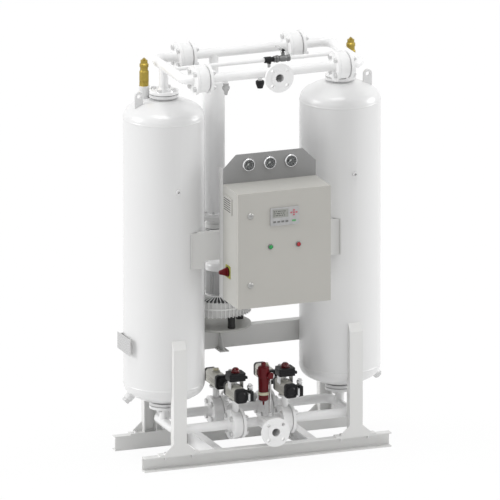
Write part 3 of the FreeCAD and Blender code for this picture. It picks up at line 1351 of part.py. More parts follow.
def heater_head():
    """The blind flange that carries the elements, with the terminal box and its cooling slots."""
    seat = at(HEATER_X, TOP_REAR_Y, HEATER_LOW - FLANGE_T)
    cover = rod(seat, Z, FLANGE_T, HEATER_FLANGE_D)
    box_top = seat.z
    terminal = turned([(0, 0), (44, 0), (47, 3), (47, 60), (40, 68), (40, 90), (0, 90)],
                      at(seat.x, seat.y, box_top - 90), Z)
    slots = [ring(at(seat.x, seat.y, box_top - 90 + z), Z, 4, 100, 86) for z in (12, 20, 28, 36)]
    holes = [rod(p, Z, FLANGE_T, HEATER_BOLT_D + 2) for p in bolt_places(seat, Z, HEATER_FLANGE_D - 20, 8)]
    holes += [rod(at(seat.x + 30 * cos(2 * pi * k / 6), seat.y + 30 * sin(2 * pi * k / 6), seat.z), Z,
                  FLANGE_T, ELEMENT_D) for k in range(6)]
    return cover.fuse(terminal).cut(fuse(slots + holes))


def heater_elements():
    """Three hairpin elements that hang in the heater tube from the blind flange."""
    pieces = []
    top = HEATER_HIGH - 160
    low = HEATER_LOW - FLANGE_T + 2
    for k in range(3):
        a = 2 * pi * (2 * k) / 6
        b = 2 * pi * (2 * k + 1) / 6
        first = at(HEATER_X + 30 * cos(a), TOP_REAR_Y + 30 * sin(a), low)
        second = at(HEATER_X + 30 * cos(b), TOP_REAR_Y + 30 * sin(b), low)
        span = (second - first).Length
        bend = span / 2 - 0.01
        route = [first, at(first.x, first.y, top), at(second.x, second.y, top), second]
        pieces.append(run_of_pipe(route, ELEMENT_D, bend))
    return group(pieces)


def heater_bolts():
    pieces = []
    seat = at(HEATER_X, TOP_REAR_Y, HEATER_LOW - FLANGE_T)
    for p in bolt_places(seat, Z, HEATER_FLANGE_D - 20, 8):
        shank = rod(p, Z, 2 * FLANGE_T + 10, HEATER_BOLT_D)
        head = hexagon(p, -Z, 13, 5)
        nut = hexagon(p + Z * (2 * FLANGE_T), Z, 13, 6.5)
        pieces.append(fuse([shank, head, nut]))
    return group(pieces)


def hot_air_duct():
    """The pipe from the blower port up to the heater inlet."""
    r = HEATER_D / 2
    start = at(HEATER_X, DUCT_Y, BLOWER_HIGH + 10)
    route = [start, at(HEATER_X, DUCT_Y, DUCT_Z), at(HEATER_X, TOP_REAR_Y + r + 26, DUCT_Z)]
    return run_of_pipe(route, PIPE_D, BEND_R).cut(run_of_pipe(route, PIPE_BORE, BEND_R))


# Purge line and small fittings


def purge_pipes():
    """Two lengths of small pipe between the spools and the fittings in the middle."""
    reach = TOWER_X - PURGE_SOCKET_L + 16
    left = rod(at(-reach, PURGE_Y, PIPE_TOP_Z), X, reach + REGULATOR_X[0] + 10, PURGE_D)
    start = PURGE_VALVE_X + BALL_L / 2 - 8
    right = rod(at(start, PURGE_Y, PIPE_TOP_Z), X, reach - start, PURGE_D)
    middle = rod(at(REGULATOR_X[1] - 10, PURGE_Y, PIPE_TOP_Z), X,
                 PURGE_VALVE_X - BALL_L / 2 + 8 - REGULATOR_X[1] + 10, PURGE_D)
    bore = rod(at(-reach, PURGE_Y, PIPE_TOP_Z), X, 2 * reach, PURGE_D - 5)
    return group([pipe.cut(bore) for pipe in (left, middle, right)])


def purge_regulator():
    """The black throttle barrel with its test nipple underneath."""
    x0, x1 = REGULATOR_X
    seat = at(x0, PURGE_Y, PIPE_TOP_Z)
    span = x1 - x0
    barrel = turned([(0, 0), (14, 0), (16, 3), (16, span - 16), (13, span - 13), (13, span), (0, span)], seat, X)
    nipple = turned([(0, 8), (11, 8), (11, 20), (8, 24), (7, 48), (0, 48)],
                    at(x0 + span * 0.52, PURGE_Y, PIPE_TOP_Z), -Z)
    bore = rod(seat, X, span, PURGE_D + 2 * FIT)
    return barrel.fuse(nipple).cut(bore)


def purge_nuts():
    """Hex unions and a lock ring on the purge line."""
    nuts = [hexagon(at(x, PURGE_Y, PIPE_TOP_Z), X, across, long) for x, across, long in
            ((REGULATOR_X[1] + 1, 30, 9), (REGULATOR_X[1] + 13, 34, 12), (PURGE_VALVE_X + BALL_L / 2 + 1, 32, 12))]
    return group([n.cut(rod(at(-300, PURGE_Y, PIPE_TOP_Z), X, 600, PURGE_D + 2 * FIT)) for n in nuts])


def purge_valve():
    """The ball valve body with its stem collar."""
    start = at(PURGE_VALVE_X - BALL_L / 2, PURGE_Y, PIPE_TOP_Z)
    body = turned([(0, 0), (15, 0), (15, 8), (BALL_BODY_D / 2, 12), (BALL_BODY_D / 2, BALL_L - 12),
                   (15, BALL_L - 8), (15, BALL_L), (0, BALL_L)], start, X)
    collar = rod(at(PURGE_VALVE_X, PURGE_Y, PIPE_TOP_Z), Z, 30, 18)
    bore = rod(start, X, BALL_L, PURGE_D + 2 * FIT)
    ball_room = Part.makeSphere(13.0, at(PURGE_VALVE_X, PURGE_Y, PIPE_TOP_Z))
    stem_hole = rod(at(PURGE_VALVE_X, PURGE_Y, PIPE_TOP_Z), Z, 31, 8.1)
    return body.fuse(collar).cut(bore).cut(ball_room).cut(stem_hole)


def purge_lever():
    """The quarter-turn lever with its ball and stem."""
    centre = at(PURGE_VALVE_X, PURGE_Y, PIPE_TOP_Z)
    ball = Part.makeSphere(12.5, centre).cut(rod(centre - Y * 14, Y, 28, 14))
    stem = rod(centre + Z * 10, Z, LEVER_LIFT - 10, 8)
    bar = block(centre.x - 9, centre.x + 9, centre.y - 10, centre.y + LEVER_L - 34, centre.z + LEVER_LIFT,
                centre.z + LEVER_LIFT + 3)
    hub = hexagon(centre + Z * (LEVER_LIFT + 3), Z, 13, 5)
    return fuse([ball, stem, bar, hub])


def lever_grip():
    """The black sleeve on the lever's end."""
    centre = at(PURGE_VALVE_X, PURGE_Y, PIPE_TOP_Z)
    low = centre.z + LEVER_LIFT - 2.5
    sleeve = rounded_bar(at(centre.x, centre.y + LEVER_L - 30, low), 60, 22, 8, 3.5)
    tongue = block(centre.x - 9, centre.x + 9, centre.y, centre.y + LEVER_L - 34, centre.z + LEVER_LIFT,
                   centre.z + LEVER_LIFT + 3)
    return sleeve.cut(tongue)


def header_sensors():
    """A black tapered pressure switch and a grey dew point probe under the outlet header."""
    first = turned([(0, 0), (SENSOR_SOCKET_D / 2 + 6, 0), (22, 4), (22, 16), (14, 40), (0, 40)],
                   at(SENSOR_X[0], TOP_FRONT_Y, PIPE_TOP_Z - SENSOR_SEAT), -Z)
    second = turned([(0, 0), (14, 0), (14, 10), (19, 16), (19, 26), (11, 40), (7, 58), (0, 58)],
                    at(SENSOR_X[1], TOP_FRONT_Y, PIPE_TOP_Z - SENSOR_SEAT), -Z)
    return group([first, second])


def rear_sensor():
    """A small temperature probe standing on the lower rear header."""
    seat = at(57, LOW_REAR_Y, PIPE_LOW_Z + PIPE_D / 2 - 1)
    cut = rod(at(0, LOW_REAR_Y, PIPE_LOW_Z), X, 200, PIPE_D + 2 * FIT)
    body = turned([(0, 0), (9, 0), (9, 12), (13, 14), (13, 34), (8, 44), (0, 44)], seat, Z)
    return body.cut(cut)


def filter_riser():
    """The small tube from the inlet header up to the pilot air filter, with its side fitting."""
    x = FILTER_X + RISER_DX
    top = FILTER_HIGH - 84
    tube = rod(at(x, LOW_FRONT_Y, PIPE_LOW_Z + PIPE_BORE / 2), Z, top - PIPE_LOW_Z - PIPE_BORE / 2, RISER_D - 2 * FIT)
    elbow = rod(at(x, LOW_FRONT_Y, top - 14), Z, 30, 24)
    nipple = rod(at(FILTER_X, LOW_FRONT_Y, top), X, RISER_DX, 16)
    gauge = fuse([rod(at(x - 8, LOW_FRONT_Y, top + 18), -Y, 24, 12),
                  rod(at(x - 8, LOW_FRONT_Y - 24, top + 18), -Y, 14, 34)])
    neck = rod(at(x - 4, LOW_FRONT_Y, top), Z, 24, 14)
    clear = rod(at(FILTER_X, LOW_FRONT_Y, FILTER_LOW), Z, FILTER_HIGH - FILTER_LOW, FILTER_D + 2 * FIT)
    return fuse([tube, elbow, nipple, gauge, neck]).cut(clear)


def filter_head():
    """The dark red filter head with its adjusting knob."""
    low = FILTER_HIGH - 100
    seat = at(FILTER_X, LOW_FRONT_Y, low)
    r = FILTER_D / 2
    body = turned([(0, 0), (r, 0), (r, 20), (r + 2, 24), (r + 2, 72), (r - 3, 78), (r * 0.45, 82),
                   (r * 0.45, 96), (r * 0.3, 100), (0, 100)], seat, Z)
    ears = block(seat.x - r - 6, seat.x + r, seat.y - 12, seat.y + 12, seat.z + 34, seat.z + 62)
    return body.fuse(ears)


def filter_bowl():
    """The bowl under the head, with a pale collar groove and a drain tip."""
    seat = at(FILTER_X, LOW_FRONT_Y, FILTER_HIGH - 100)
    r = FILTER_D / 2
    return turned([(0, 0), (r, 0), (r - 1, 52), (r - 3, 54), (r - 3, 70), (r - 1, 72), (r - 2, 96),
                   (r - 10, 102), (6, 104), (4, 125), (0, 125)], seat, -Z)


def filter_collar():
    """The pale band round the bowl."""
    r = FILTER_D / 2
    seat = at(FILTER_X, LOW_FRONT_Y, FILTER_HIGH - 100)
    return ring(seat - Z * 69.5, Z, 15, 2 * r, 2 * (r - 3) + 2 * FIT)


def valve_name(place):
    return ("front_" if place.y == LOW_FRONT_Y else "rear_") + ("left" if place.x < CENTRE_X else "right")


def nodes():
    parts = {
        "base_rails": group([rail(-1), rail(1)]),
        "cross_members": group([cross_member(-1), cross_member(1)]),
        "tower_legs": group([leg(x, side) for x in (-TOWER_X, TOWER_X) for side in (-1, 1)]),
        "bolts_and_nuts": group([foot_bolts(), tower_bolts(), check_bolts(), valve_bolts(), heater_bolts()]),
        "left_vessel": vessel(-1),
        "right_vessel": vessel(1),
        "desiccant_beds": group([desiccant(-1), desiccant(1)]),
        "bed_screens": screens(),
        "relief_valves": group([relief_valve(-1), relief_valve(1)]),
        "drain_plugs": drain_plugs(),
        "data_plate": group([data_plate(), data_bracket()]),
        "top_left_spool": top_spool(-1),
        "top_right_spool": top_spool(1),
        "top_front_header": top_front_header(),
        "top_rear_header": top_rear_header(),
        "check_valves": check_valves(),
        "low_left_spool": low_spool(-1),
        "low_right_spool": low_spool(1),
        "inlet_header": low_header(LOW_FRONT_Y, INLET_Y),
        "exhaust_header": low_header(LOW_REAR_Y, EXHAUST_Y),
        "valve_bodies": valve_bodies(),
        "actuator_bodies": actuator_bodies(),
        "actuator_caps": actuator_caps(),
        "pilot_valves": solenoid_valves(),
        "coil_connectors": coil_connectors(),
        "switch_brackets": switch_brackets(),
        "switch_boxes": switch_boxes(),
        "indicator_domes": indicator_domes(),
        "cabinet_body": group([cabinet_body(), cabinet_hinges(), vent_cover()]),
        "cabinet_door": group([cabinet_door(), door_hinge_leaves()]),
        "door_seal": door_seal(),
        "upper_latch": latch(latch_heights()[0]),
        "lower_latch": latch(latch_heights()[1]),
        "control_gear": group([mounting_plate(), control_gear(), switch_body()]),
        "operator_panel": group([operator_panel(), keypad(), display_screen()]),
        "signal_lamps": group([lamp_bezels(), lamp_lens(-LAMP_X), lamp_lens(LAMP_X)]),
        "switch_plate": switch_plate(),
        "switch_handle": switch_handle(),
        "gauge_panel": gauge_panel(),
        "panel_frame": group([side_brackets(), cross_band()]),
        "gauge_cases": group([gauge_cases(), gauge_dials()]),
        "gauge_glasses": gauge_glasses(),
        "blower_support": group([blower_beam(), blower_base(), blower_feet()]),
        "blower_housing": blower_housing(),
        "blower_rotor": blower_rotor(),
        "blower_motor": group([motor(), fan_cowl()]),
        "heater_shell": group([heater_shell(), hot_air_duct()]),
        "heater_head": group([heater_head(), heater_elements()]),
        "purge_line": group([purge_pipes(), purge_nuts(), purge_valve(), purge_regulator()]),
        "purge_lever": group([purge_lever(), lever_grip()]),
        "pipe_sensors": group([header_sensors(), rear_sensor()]),
        "pilot_filter": group([filter_head(), filter_bowl(), filter_collar(), filter_riser()]),
    }
    for place in valve_places():
        parts[valve_name(place) + "_disc"] = valve_rotor(place)
    for name, x in zip(("left", "middle", "right"), gauge_places()):
        parts[name + "_needle"] = gauge_needle(x)
    return parts


def main():
    os.makedirs("parts", exist_ok=True)
    for name, shape in nodes().items():
        shape.exportStep("parts/" + name + ".step")
        print(name, len(shape.Solids), shape.isValid(), round(shape.Volume / 1000), flush=True)


main()
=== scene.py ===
import math

import bmesh
import bpy
from mathutils import Matrix, Vector


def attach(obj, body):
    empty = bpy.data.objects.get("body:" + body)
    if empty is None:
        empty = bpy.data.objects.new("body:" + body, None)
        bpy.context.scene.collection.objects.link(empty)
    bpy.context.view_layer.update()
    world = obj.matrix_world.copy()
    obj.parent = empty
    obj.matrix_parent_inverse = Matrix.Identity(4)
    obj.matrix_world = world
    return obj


# The dryer's finishes, its small surface details, the studio and the camera.
# Metres, in the frame of the solids.

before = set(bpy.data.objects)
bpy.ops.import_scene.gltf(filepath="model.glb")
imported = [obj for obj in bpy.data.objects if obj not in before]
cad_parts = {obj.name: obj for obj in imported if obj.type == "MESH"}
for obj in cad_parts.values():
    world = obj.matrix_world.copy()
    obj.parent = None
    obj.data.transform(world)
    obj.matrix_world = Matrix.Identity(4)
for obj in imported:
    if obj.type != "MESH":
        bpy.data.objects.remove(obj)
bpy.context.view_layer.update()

# Places that the solids fix
TOWERS = (-0.476, 0.476)
TOWER_R = 0.206
SEAMS = (0.400, 1.786)
GAUGE_Z = 1.563
GAUGES = (-0.114, 0.0, 0.114)
LAMP_X = 0.075
LAMP_Z = 1.185
SWITCH_Y = -0.318
FILTER = (0.002, -0.157)
BLOWER = (-0.112, 0.190)
HEATER = (-0.150, 0.148)
VALVE_X = (-0.149, 0.119)
VALVE_Y = (-0.157, 0.120)
PORTS_X = (-0.015, -0.013)
PORTS_Z = (0.185, 2.050)

# Limits that tell faces of one node apart
HINGE_SIDE = 0.2501
TRAY_X = -0.6919
DRUM_R = 0.0061
DRUM_LOW = 0.39
PILOT_BLOCK_END = 0.0422
PORT_END_Y = -0.33
PORT_BORE_R = 0.022
BACK_PLATE_Y = -0.2622
DEVICE_NOSE_Y = -0.340
SCREEN_X = (-0.067, 0.019)
SCREEN_Y = (-0.46299, -0.461)
SCREEN_Z = (1.334, 1.378)
KEY_FACE_Y = -0.46301
ARROW_KEYS_X = 0.028
ARROW_KEYS_Z = 1.338
LENS_R = 0.01035
SWITCH_PLATE_X = -0.2531
HANDLE_X = -0.2532
DIAL_Y = (-0.24301, -0.2419)
DIAL_R = 0.0279
BASE_PLATE_Z = (0.6141, 0.6241)
FIN_R = 0.1622
FIN_Z = (0.691, 0.768)
GRILLE_R = 0.1480
GRILLE_Z = (0.745, 0.7725)
COWL_Z = 0.9051
VENT_RING_R = 0.0445
VENT_RING_Z = (1.110, 1.142)
HEAD_TOP_Z = 1.2062
REGULATOR_X = (0.0359, 0.0871)
REGULATOR_LOW_Z = 2.032
BALL_VALVE_X = (0.0871, 0.175)
LEVER_GRIP_Y = -0.058
LEFT_SENSOR_X = -0.2
FILTER_BAND_Z = (0.3244, 0.3396)
FILTER_BAND_R = 0.0241
RISER_OFFSET = 0.031

# Weld beads, dial marks (angles in degrees), display, and the painted shade of the vent slots
BEAD_HALF = 0.005
NOZZLE_R = 0.055
NOZZLE_SEAMS = (1.8865, 0.2995)
DIAL_START = 225
DIAL_SWEEP = 270
TICKS = 40
TICK_OUTER_R = 0.0262
TICK_Y = -0.24302
NUMBER_R = 0.0175
NUMBER_Y = -0.2431
ROW_TOP_Z = 1.3665
ROW_PITCH = 0.0105
ROW_LEFT_X = -0.060
ROW_Y = -0.46251
CELL_PITCH = 0.0032
WORD_GAP = 0.0036
VENT_X = -0.25602
VENT_Z = 1.3855
VENT_SLOTS = 6
VENT_PITCH = 0.0115

# Light from the surroundings, and the floor's own glow, as shares of what the camera sees
AMBIENT = 0.55
FLOOR_GLOW = 0.94

# Camera
AZIMUTH = math.radians(-21.0)
ELEVATION = math.radians(15.7)
TARGET = Vector((-0.0094, 0.0036, 1.0407))
DISTANCE = 110.0
VIEW_WIDTH = 2.525
SENSOR = 36.0


# Materials

def shader(name):
    """A new material with its node tree and its surface shader."""
    material = bpy.data.materials.new(name)
    material.use_nodes = True
    tree = material.node_tree
    return material, tree, tree.nodes["Principled BSDF"]


def position(tree, scale):
    """Object coordinates, stretched by scale."""
    coords = tree.nodes.new("ShaderNodeTexCoord")
    mapping = tree.nodes.new("ShaderNodeMapping")
    mapping.inputs["Scale"].default_value = scale
    tree.links.new(coords.outputs["Object"], mapping.inputs["Vector"])
    return mapping.outputs["Vector"]


def noise(tree, scale, detail=3.0, stretch=(1, 1, 1)):
    texture = tree.nodes.new("ShaderNodeTexNoise")
    texture.inputs["Scale"].default_value = scale
    texture.inputs["Detail"].default_value = detail
    tree.links.new(position(tree, stretch), texture.inputs["Vector"])
    return texture.outputs["Fac"]


def ramp(tree, source, low, high, start=0.3, end=0.7):
    """Blends from colour low to colour high as source goes from start to end."""
    node = tree.nodes.new("ShaderNodeValToRGB")
    node.color_ramp.elements[0].position = start
    node.color_ramp.elements[0].color = (*low, 1)
    node.color_ramp.elements[1].position = end
    node.color_ramp.elements[1].color = (*high, 1)
    tree.links.new(source, node.inputs["Fac"])
    return node.outputs["Color"]


def spread(tree, source, low, high):
    """A number that runs from low to high as source goes from 0.3 to 0.7."""
    node = tree.nodes.new("ShaderNodeMapRange")
    node.inputs["From Min"].default_value = 0.3
    node.inputs["From Max"].default_value = 0.7
    node.inputs["To Min"].default_value = low
    node.inputs["To Max"].default_value = high
    tree.links.new(source, node.inputs["Value"])
    return node.outputs["Result"]


def bump(tree, surface, height, strength, distance):
    node = tree.nodes.new("ShaderNodeBump")
    node.inputs["Strength"].default_value = strength
    node.inputs["Distance"].default_value = distance
    tree.links.new(height, node.inputs["Height"])
    tree.links.new(node.outputs["Normal"], surface.inputs["Normal"])


def shade(colour, factor):
    return tuple(min(1.0, c * factor) for c in colour)


def enamel(name, colour, roughness=0.3, coat=0.4, peel=0.15):
    """Sprayed paint: a faint cloudiness, orange peel and a clear top film."""
    material, tree, surface = shader(name)
    clouds = noise(tree, 3.0, 2)
    tint = ramp(tree, clouds, shade(colour, 0.99), shade(colour, 1.005))
    tree.links.new(tint, surface.inputs["Base Color"])
    sheen = spread(tree, noise(tree, 25.0), roughness - 0.015, roughness + 0.02)
    tree.links.new(sheen, surface.inputs["Roughness"])
    surface.inputs["Coat Weight"].default_value = coat
    surface.inputs["Coat Roughness"].default_value = 0.12
    bump(tree, surface, noise(tree, 420.0, 2), peel, 0.0004)
    return material


def powder_coat(name, colour, roughness=0.5):
    """Fine-textured powder paint, as on sheet metal cabinets."""
    material, tree, surface = shader(name)
    clouds = noise(tree, 3.0, 5)
    tint = ramp(tree, clouds, shade(colour, 0.97), shade(colour, 1.02))
    tree.links.new(tint, surface.inputs["Base Color"])
    sheen = spread(tree, noise(tree, 30.0), roughness - 0.05, roughness + 0.06)
    tree.links.new(sheen, surface.inputs["Roughness"])
    bump(tree, surface, noise(tree, 900.0, 4), 0.35, 0.0003)
    return material


def metal(name, colour, roughness=0.3, grain=(1, 1, 12), cast=0.0):
    """Bare or plated metal with drawn grain, or a cast skin."""
    material, tree, surface = shader(name)
    streaks = noise(tree, 60.0, 4, grain)
    tint = ramp(tree, streaks, shade(colour, 0.88), shade(colour, 1.06))
    tree.links.new(tint, surface.inputs["Base Color"])
    tree.links.new(spread(tree, streaks, roughness - 0.06, roughness + 0.1), surface.inputs["Roughness"])
    surface.inputs["Metallic"].default_value = 1.0
    bump(tree, surface, noise(tree, 500.0, 3), 0.1 + cast, 0.0004)
    return material


def plastic(name, colour, roughness=0.4, texture=0.25, shine=0.5):
    """Moulded plastic or rubber with a fine spark-eroded texture."""
    material, tree, surface = shader(name)
    clouds = noise(tree, 40.0, 4)
    tint = ramp(tree, clouds, shade(colour, 0.9), shade(colour, 1.08))
    tree.links.new(tint, surface.inputs["Base Color"])
    sheen = spread(tree, noise(tree, 120.0), roughness - 0.05, roughness + 0.08)
    tree.links.new(sheen, surface.inputs["Roughness"])
    surface.inputs["Specular IOR Level"].default_value = shine
    bump(tree, surface, noise(tree, 1500.0, 2), texture, 0.0002)
    return material


def clear(name, colour, roughness=0.03, transmission=1.0):
    """Glass or tinted clear plastic with slight unevenness."""
    material, tree, surface = shader(name)
    clouds = noise(tree, 25.0, 2)
    tree.links.new(ramp(tree, clouds, shade(colour, 0.97), colour), surface.inputs["Base Color"])
    tree.links.new(spread(tree, clouds, roughness, roughness + 0.03), surface.inputs["Roughness"])
    surface.inputs["Transmission Weight"].default_value = transmission
    surface.inputs["IOR"].default_value = 1.49
    return material


def beads(name, colour):
    """Loose round beads, as packed desiccant, each darker towards its rim as painted shade between the
    beads.
    """
    material, tree, surface = shader(name)
    cells = tree.nodes.new("ShaderNodeTexVoronoi")
    cells.inputs["Scale"].default_value = 220.0
    tree.links.new(position(tree, (1, 1, 1)), cells.inputs["Vector"])
    tree.links.new(ramp(tree, cells.outputs["Distance"], colour, shade(colour, 0.6), 0.1, 0.8),
                   surface.inputs["Base Color"])
    surface.inputs["Roughness"].default_value = 0.9
    bump(tree, surface, cells.outputs["Distance"], 0.8, 0.003)
    return material


WHITE = enamel("white_enamel", (0.715, 0.715, 0.715))
PIPE_WHITE = enamel("pipe_enamel", (0.83, 0.83, 0.83))
FRAME_WHITE = enamel("frame_enamel", (0.72, 0.72, 0.71), 0.38, 0.2, 0.25)
# A slightly darker copy of the pipe paint for the insides of the port bores: painted shade.
BORE_SHADE = enamel("bore_painted_shade", (0.80, 0.80, 0.80))
CABINET = powder_coat("cabinet_grey", (0.455, 0.445, 0.415))
# A slightly darker copy of the cabinet paint for the cabinet body: painted shade.
CABINET_SHADED = powder_coat("cabinet_painted_shade", (0.44, 0.435, 0.41), 0.55)
PANEL_GREY = powder_coat("panel_grey", (0.30, 0.30, 0.30))
# Near-black paint for painted shade inside slots and openings: the blower grille, the heater head's vents
# and the vent cover's louvres.
SLOT_SHADE = powder_coat("slot_painted_shade", (0.03, 0.03, 0.032), 0.7)
FRAME_GREY = powder_coat("panel_frame_grey", (0.62, 0.62, 0.61))
MOTOR_GREY = powder_coat("motor_grey", (0.52, 0.52, 0.52))
BASE_GREY = powder_coat("base_plate_grey", (0.46, 0.46, 0.44))
HOUSING_GREY = powder_coat("housing_grey", (0.80, 0.80, 0.79))
# Darker copy of the housing paint for the faces between the fins: painted shade.
FIN_SHADE = powder_coat("fin_shade", (0.66, 0.66, 0.65))
ACTUATOR = enamel("actuator_paint", (0.50, 0.49, 0.44), 0.4, 0.1, 0.3)
CAST_ALUMINIUM = metal("cast_aluminium", (0.62, 0.63, 0.63), 0.5, (1, 1, 1), 0.35)
ZINC = metal("zinc_plate", (0.66, 0.66, 0.66), 0.36)
STEEL = metal("bright_steel", (0.62, 0.62, 0.62), 0.28)
DARK_STEEL = metal("dark_steel", (0.20, 0.20, 0.20), 0.4)
LATCH_GREY = metal("latch_grey", (0.42, 0.42, 0.41), 0.35)
CHROME = metal("chrome", (0.78, 0.78, 0.79), 0.12)
BRASS = metal("brass", (0.40, 0.30, 0.07), 0.34, (1, 1, 4))
BLACK = plastic("black_plastic", (0.010, 0.010, 0.011), 0.38, 0.25, 0.22)
RUBBER = plastic("rubber", (0.02, 0.02, 0.02), 0.7, 0.5)
GREY_PLASTIC = plastic("grey_plastic", (0.42, 0.42, 0.42), 0.42)
DARK_KEY = plastic("dark_key", (0.16, 0.16, 0.155), 0.5)
CREAM = plastic("cream_plastic", (0.62, 0.58, 0.42), 0.4)
DARK_RED = plastic("dark_red", (0.115, 0.003, 0.006), 0.34, 0.1, 0.25)
DOME_RED = clear("dome_red", (0.17, 0.004, 0.007), 0.08, 0.45)
YELLOW = plastic("yellow_plastic", (0.30, 0.29, 0.04), 0.4)
GREEN_LENS = clear("green_lens", (0.02, 0.42, 0.10), 0.15, 0.35)
RED_LENS = clear("red_lens", (0.55, 0.02, 0.03), 0.15, 0.35)
GREEN_KEY = plastic("green_key", (0.10, 0.36, 0.14), 0.5)
ROSE_KEY = plastic("rose_key", (0.50, 0.14, 0.17), 0.5)
DIAL = plastic("dial_dark", (0.045, 0.047, 0.05), 0.5)
DIAL_MARK = plastic("dial_mark", (0.72, 0.72, 0.70), 0.5)
GLASS = clear("gauge_glass", (0.96, 0.98, 0.98))
LCD = plastic("display_glass", (0.31, 0.315, 0.29), 0.3, 0.05)
LCD_INK = plastic("display_ink", (0.03, 0.035, 0.035), 0.4, 0.05)
BEADS = beads("alumina_beads", (0.75, 0.74, 0.72))


# Painting the solids

def paint(node, *finishes):
    """The first finish covers the node. Each later (finish, test) pair covers the faces its test picks."""
    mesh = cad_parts[node].data
    mesh.materials.clear()
    mesh.materials.append(finishes[0])
    for finish, test in finishes[1:]:
        mesh.materials.append(finish)
    for face in mesh.polygons:
        face.material_index = 0
        for k, (finish, test) in enumerate(finishes[1:], 1):
            if test(face.center, face.normal):
                face.material_index = k


def reach(centre, x, y):
    """The distance of a point from the upright line through x, y."""
    return math.hypot(centre.x - x, centre.y - y)


def nearest(value, places):
    return min(abs(value - p) for p in places)


def within(value, span):
    return span[0] < value < span[1]


def paint_structure():
    for node in ("left_vessel", "right_vessel"):
        paint(node, WHITE)
    for node in ("top_left_spool", "top_right_spool", "top_front_header", "top_rear_header", "check_valves",
                 "low_left_spool", "low_right_spool", "inlet_header", "exhaust_header", "heater_shell"):
        paint(node, PIPE_WHITE, (BORE_SHADE, in_port))
    paint("valve_bodies", PIPE_WHITE)
    for node in ("base_rails", "tower_legs"):
        paint(node, FRAME_WHITE)
    paint("cross_members", PIPE_WHITE)
    paint("panel_frame", FRAME_GREY)
    paint("bolts_and_nuts", ZINC)
    paint("relief_valves", BRASS)
    paint("drain_plugs", STEEL)
    paint("data_plate", STEEL, (FRAME_WHITE, lambda c, n: c.x > TRAY_X))
    paint("desiccant_beds", BEADS)
    paint("bed_screens", STEEL)


def paint_valves():
    paint("actuator_bodies", ACTUATOR)
    paint("actuator_caps", BLACK)
    paint("pilot_valves", BLACK, (CAST_ALUMINIUM, in_pilot_block))
    paint("coil_connectors", STEEL)
    paint("switch_brackets", STEEL)
    paint("switch_boxes", BLACK)
    paint("indicator_domes", DOME_RED)
    for node in ("front_left_disc", "front_right_disc", "rear_left_disc", "rear_right_disc"):
        paint(node, STEEL, (CREAM, lambda c, n: reach(c, *nearest_valve(c)) > DRUM_R and c.z > DRUM_LOW))


def in_port(centre, normal):
    """The inside of a header's branch at its port flange, painted slightly darker as painted shade."""
    off_axis = math.hypot(nearest(centre.x, PORTS_X), nearest(centre.z, PORTS_Z))
    return centre.y < PORT_END_Y and abs(normal.y) < 0.5 and off_axis < PORT_BORE_R


def in_pilot_block(centre, normal):
    """The metal block between an actuator and its coil."""
    offset = min(centre.x - x for x in VALVE_X if centre.x - x > 0)
    return offset < PILOT_BLOCK_END


def nearest_valve(centre):
    return min(((x, y) for x in VALVE_X for y in VALVE_Y), key=lambda place: reach(centre, *place))


def paint_cabinet():
    # The cabinet body takes the darker copy of the cabinet paint as painted shade.
    paint("cabinet_body", CABINET_SHADED, (STEEL, lambda c, n: c.x > HINGE_SIDE))
    paint("cabinet_door", CABINET, (STEEL, lambda c, n: c.x > HINGE_SIDE))
    paint("door_seal", RUBBER)
    paint("control_gear", GREY_PLASTIC,
          (ZINC, lambda c, n: c.y > BACK_PLATE_Y),
          (BLACK, lambda c, n: c.y < DEVICE_NOSE_Y))
    for node in ("upper_latch", "lower_latch"):
        paint(node, LATCH_GREY)
    paint("operator_panel", GREY_PLASTIC,
          (LCD, lambda c, n: within(c.x, SCREEN_X) and within(c.z, SCREEN_Z) and within(c.y, SCREEN_Y)),
          (DARK_KEY, lambda c, n: c.y < KEY_FACE_Y and c.x < ARROW_KEYS_X),
          (ROSE_KEY, lambda c, n: c.y < KEY_FACE_Y and c.x > ARROW_KEYS_X and c.z > ARROW_KEYS_Z),
          (GREEN_KEY, lambda c, n: c.y < KEY_FACE_Y and c.x > ARROW_KEYS_X and c.z < ARROW_KEYS_Z))
    paint("signal_lamps", DARK_STEEL,
          (GREEN_LENS, lambda c, n: math.hypot(c.x + LAMP_X, c.z - LAMP_Z) < LENS_R),
          (RED_LENS, lambda c, n: math.hypot(c.x - LAMP_X, c.z - LAMP_Z) < LENS_R))
    paint("switch_plate", YELLOW, (BLACK, lambda c, n: c.x < SWITCH_PLATE_X))
    paint("switch_handle", DARK_RED, (STEEL, lambda c, n: c.x > HANDLE_X))


def paint_gauges():
    paint("gauge_panel", PANEL_GREY)
    paint("gauge_cases", CHROME,
          (DIAL, lambda c, n: within(c.y, DIAL_Y) and gauge_reach(c) < DIAL_R))
    paint("gauge_glasses", GLASS)
    for node in ("left_needle", "middle_needle", "right_needle"):
        paint(node, DIAL_MARK)


def gauge_reach(centre):
    return math.hypot(nearest(centre.x, GAUGES), centre.z - GAUGE_Z)


def in_vent_ring(centre, normal):
    """The upright walls of the openings round the heater head, which take painted shade."""
    return reach(centre, *HEATER) < VENT_RING_R and within(centre.z, VENT_RING_Z) and abs(normal.z) < 0.5


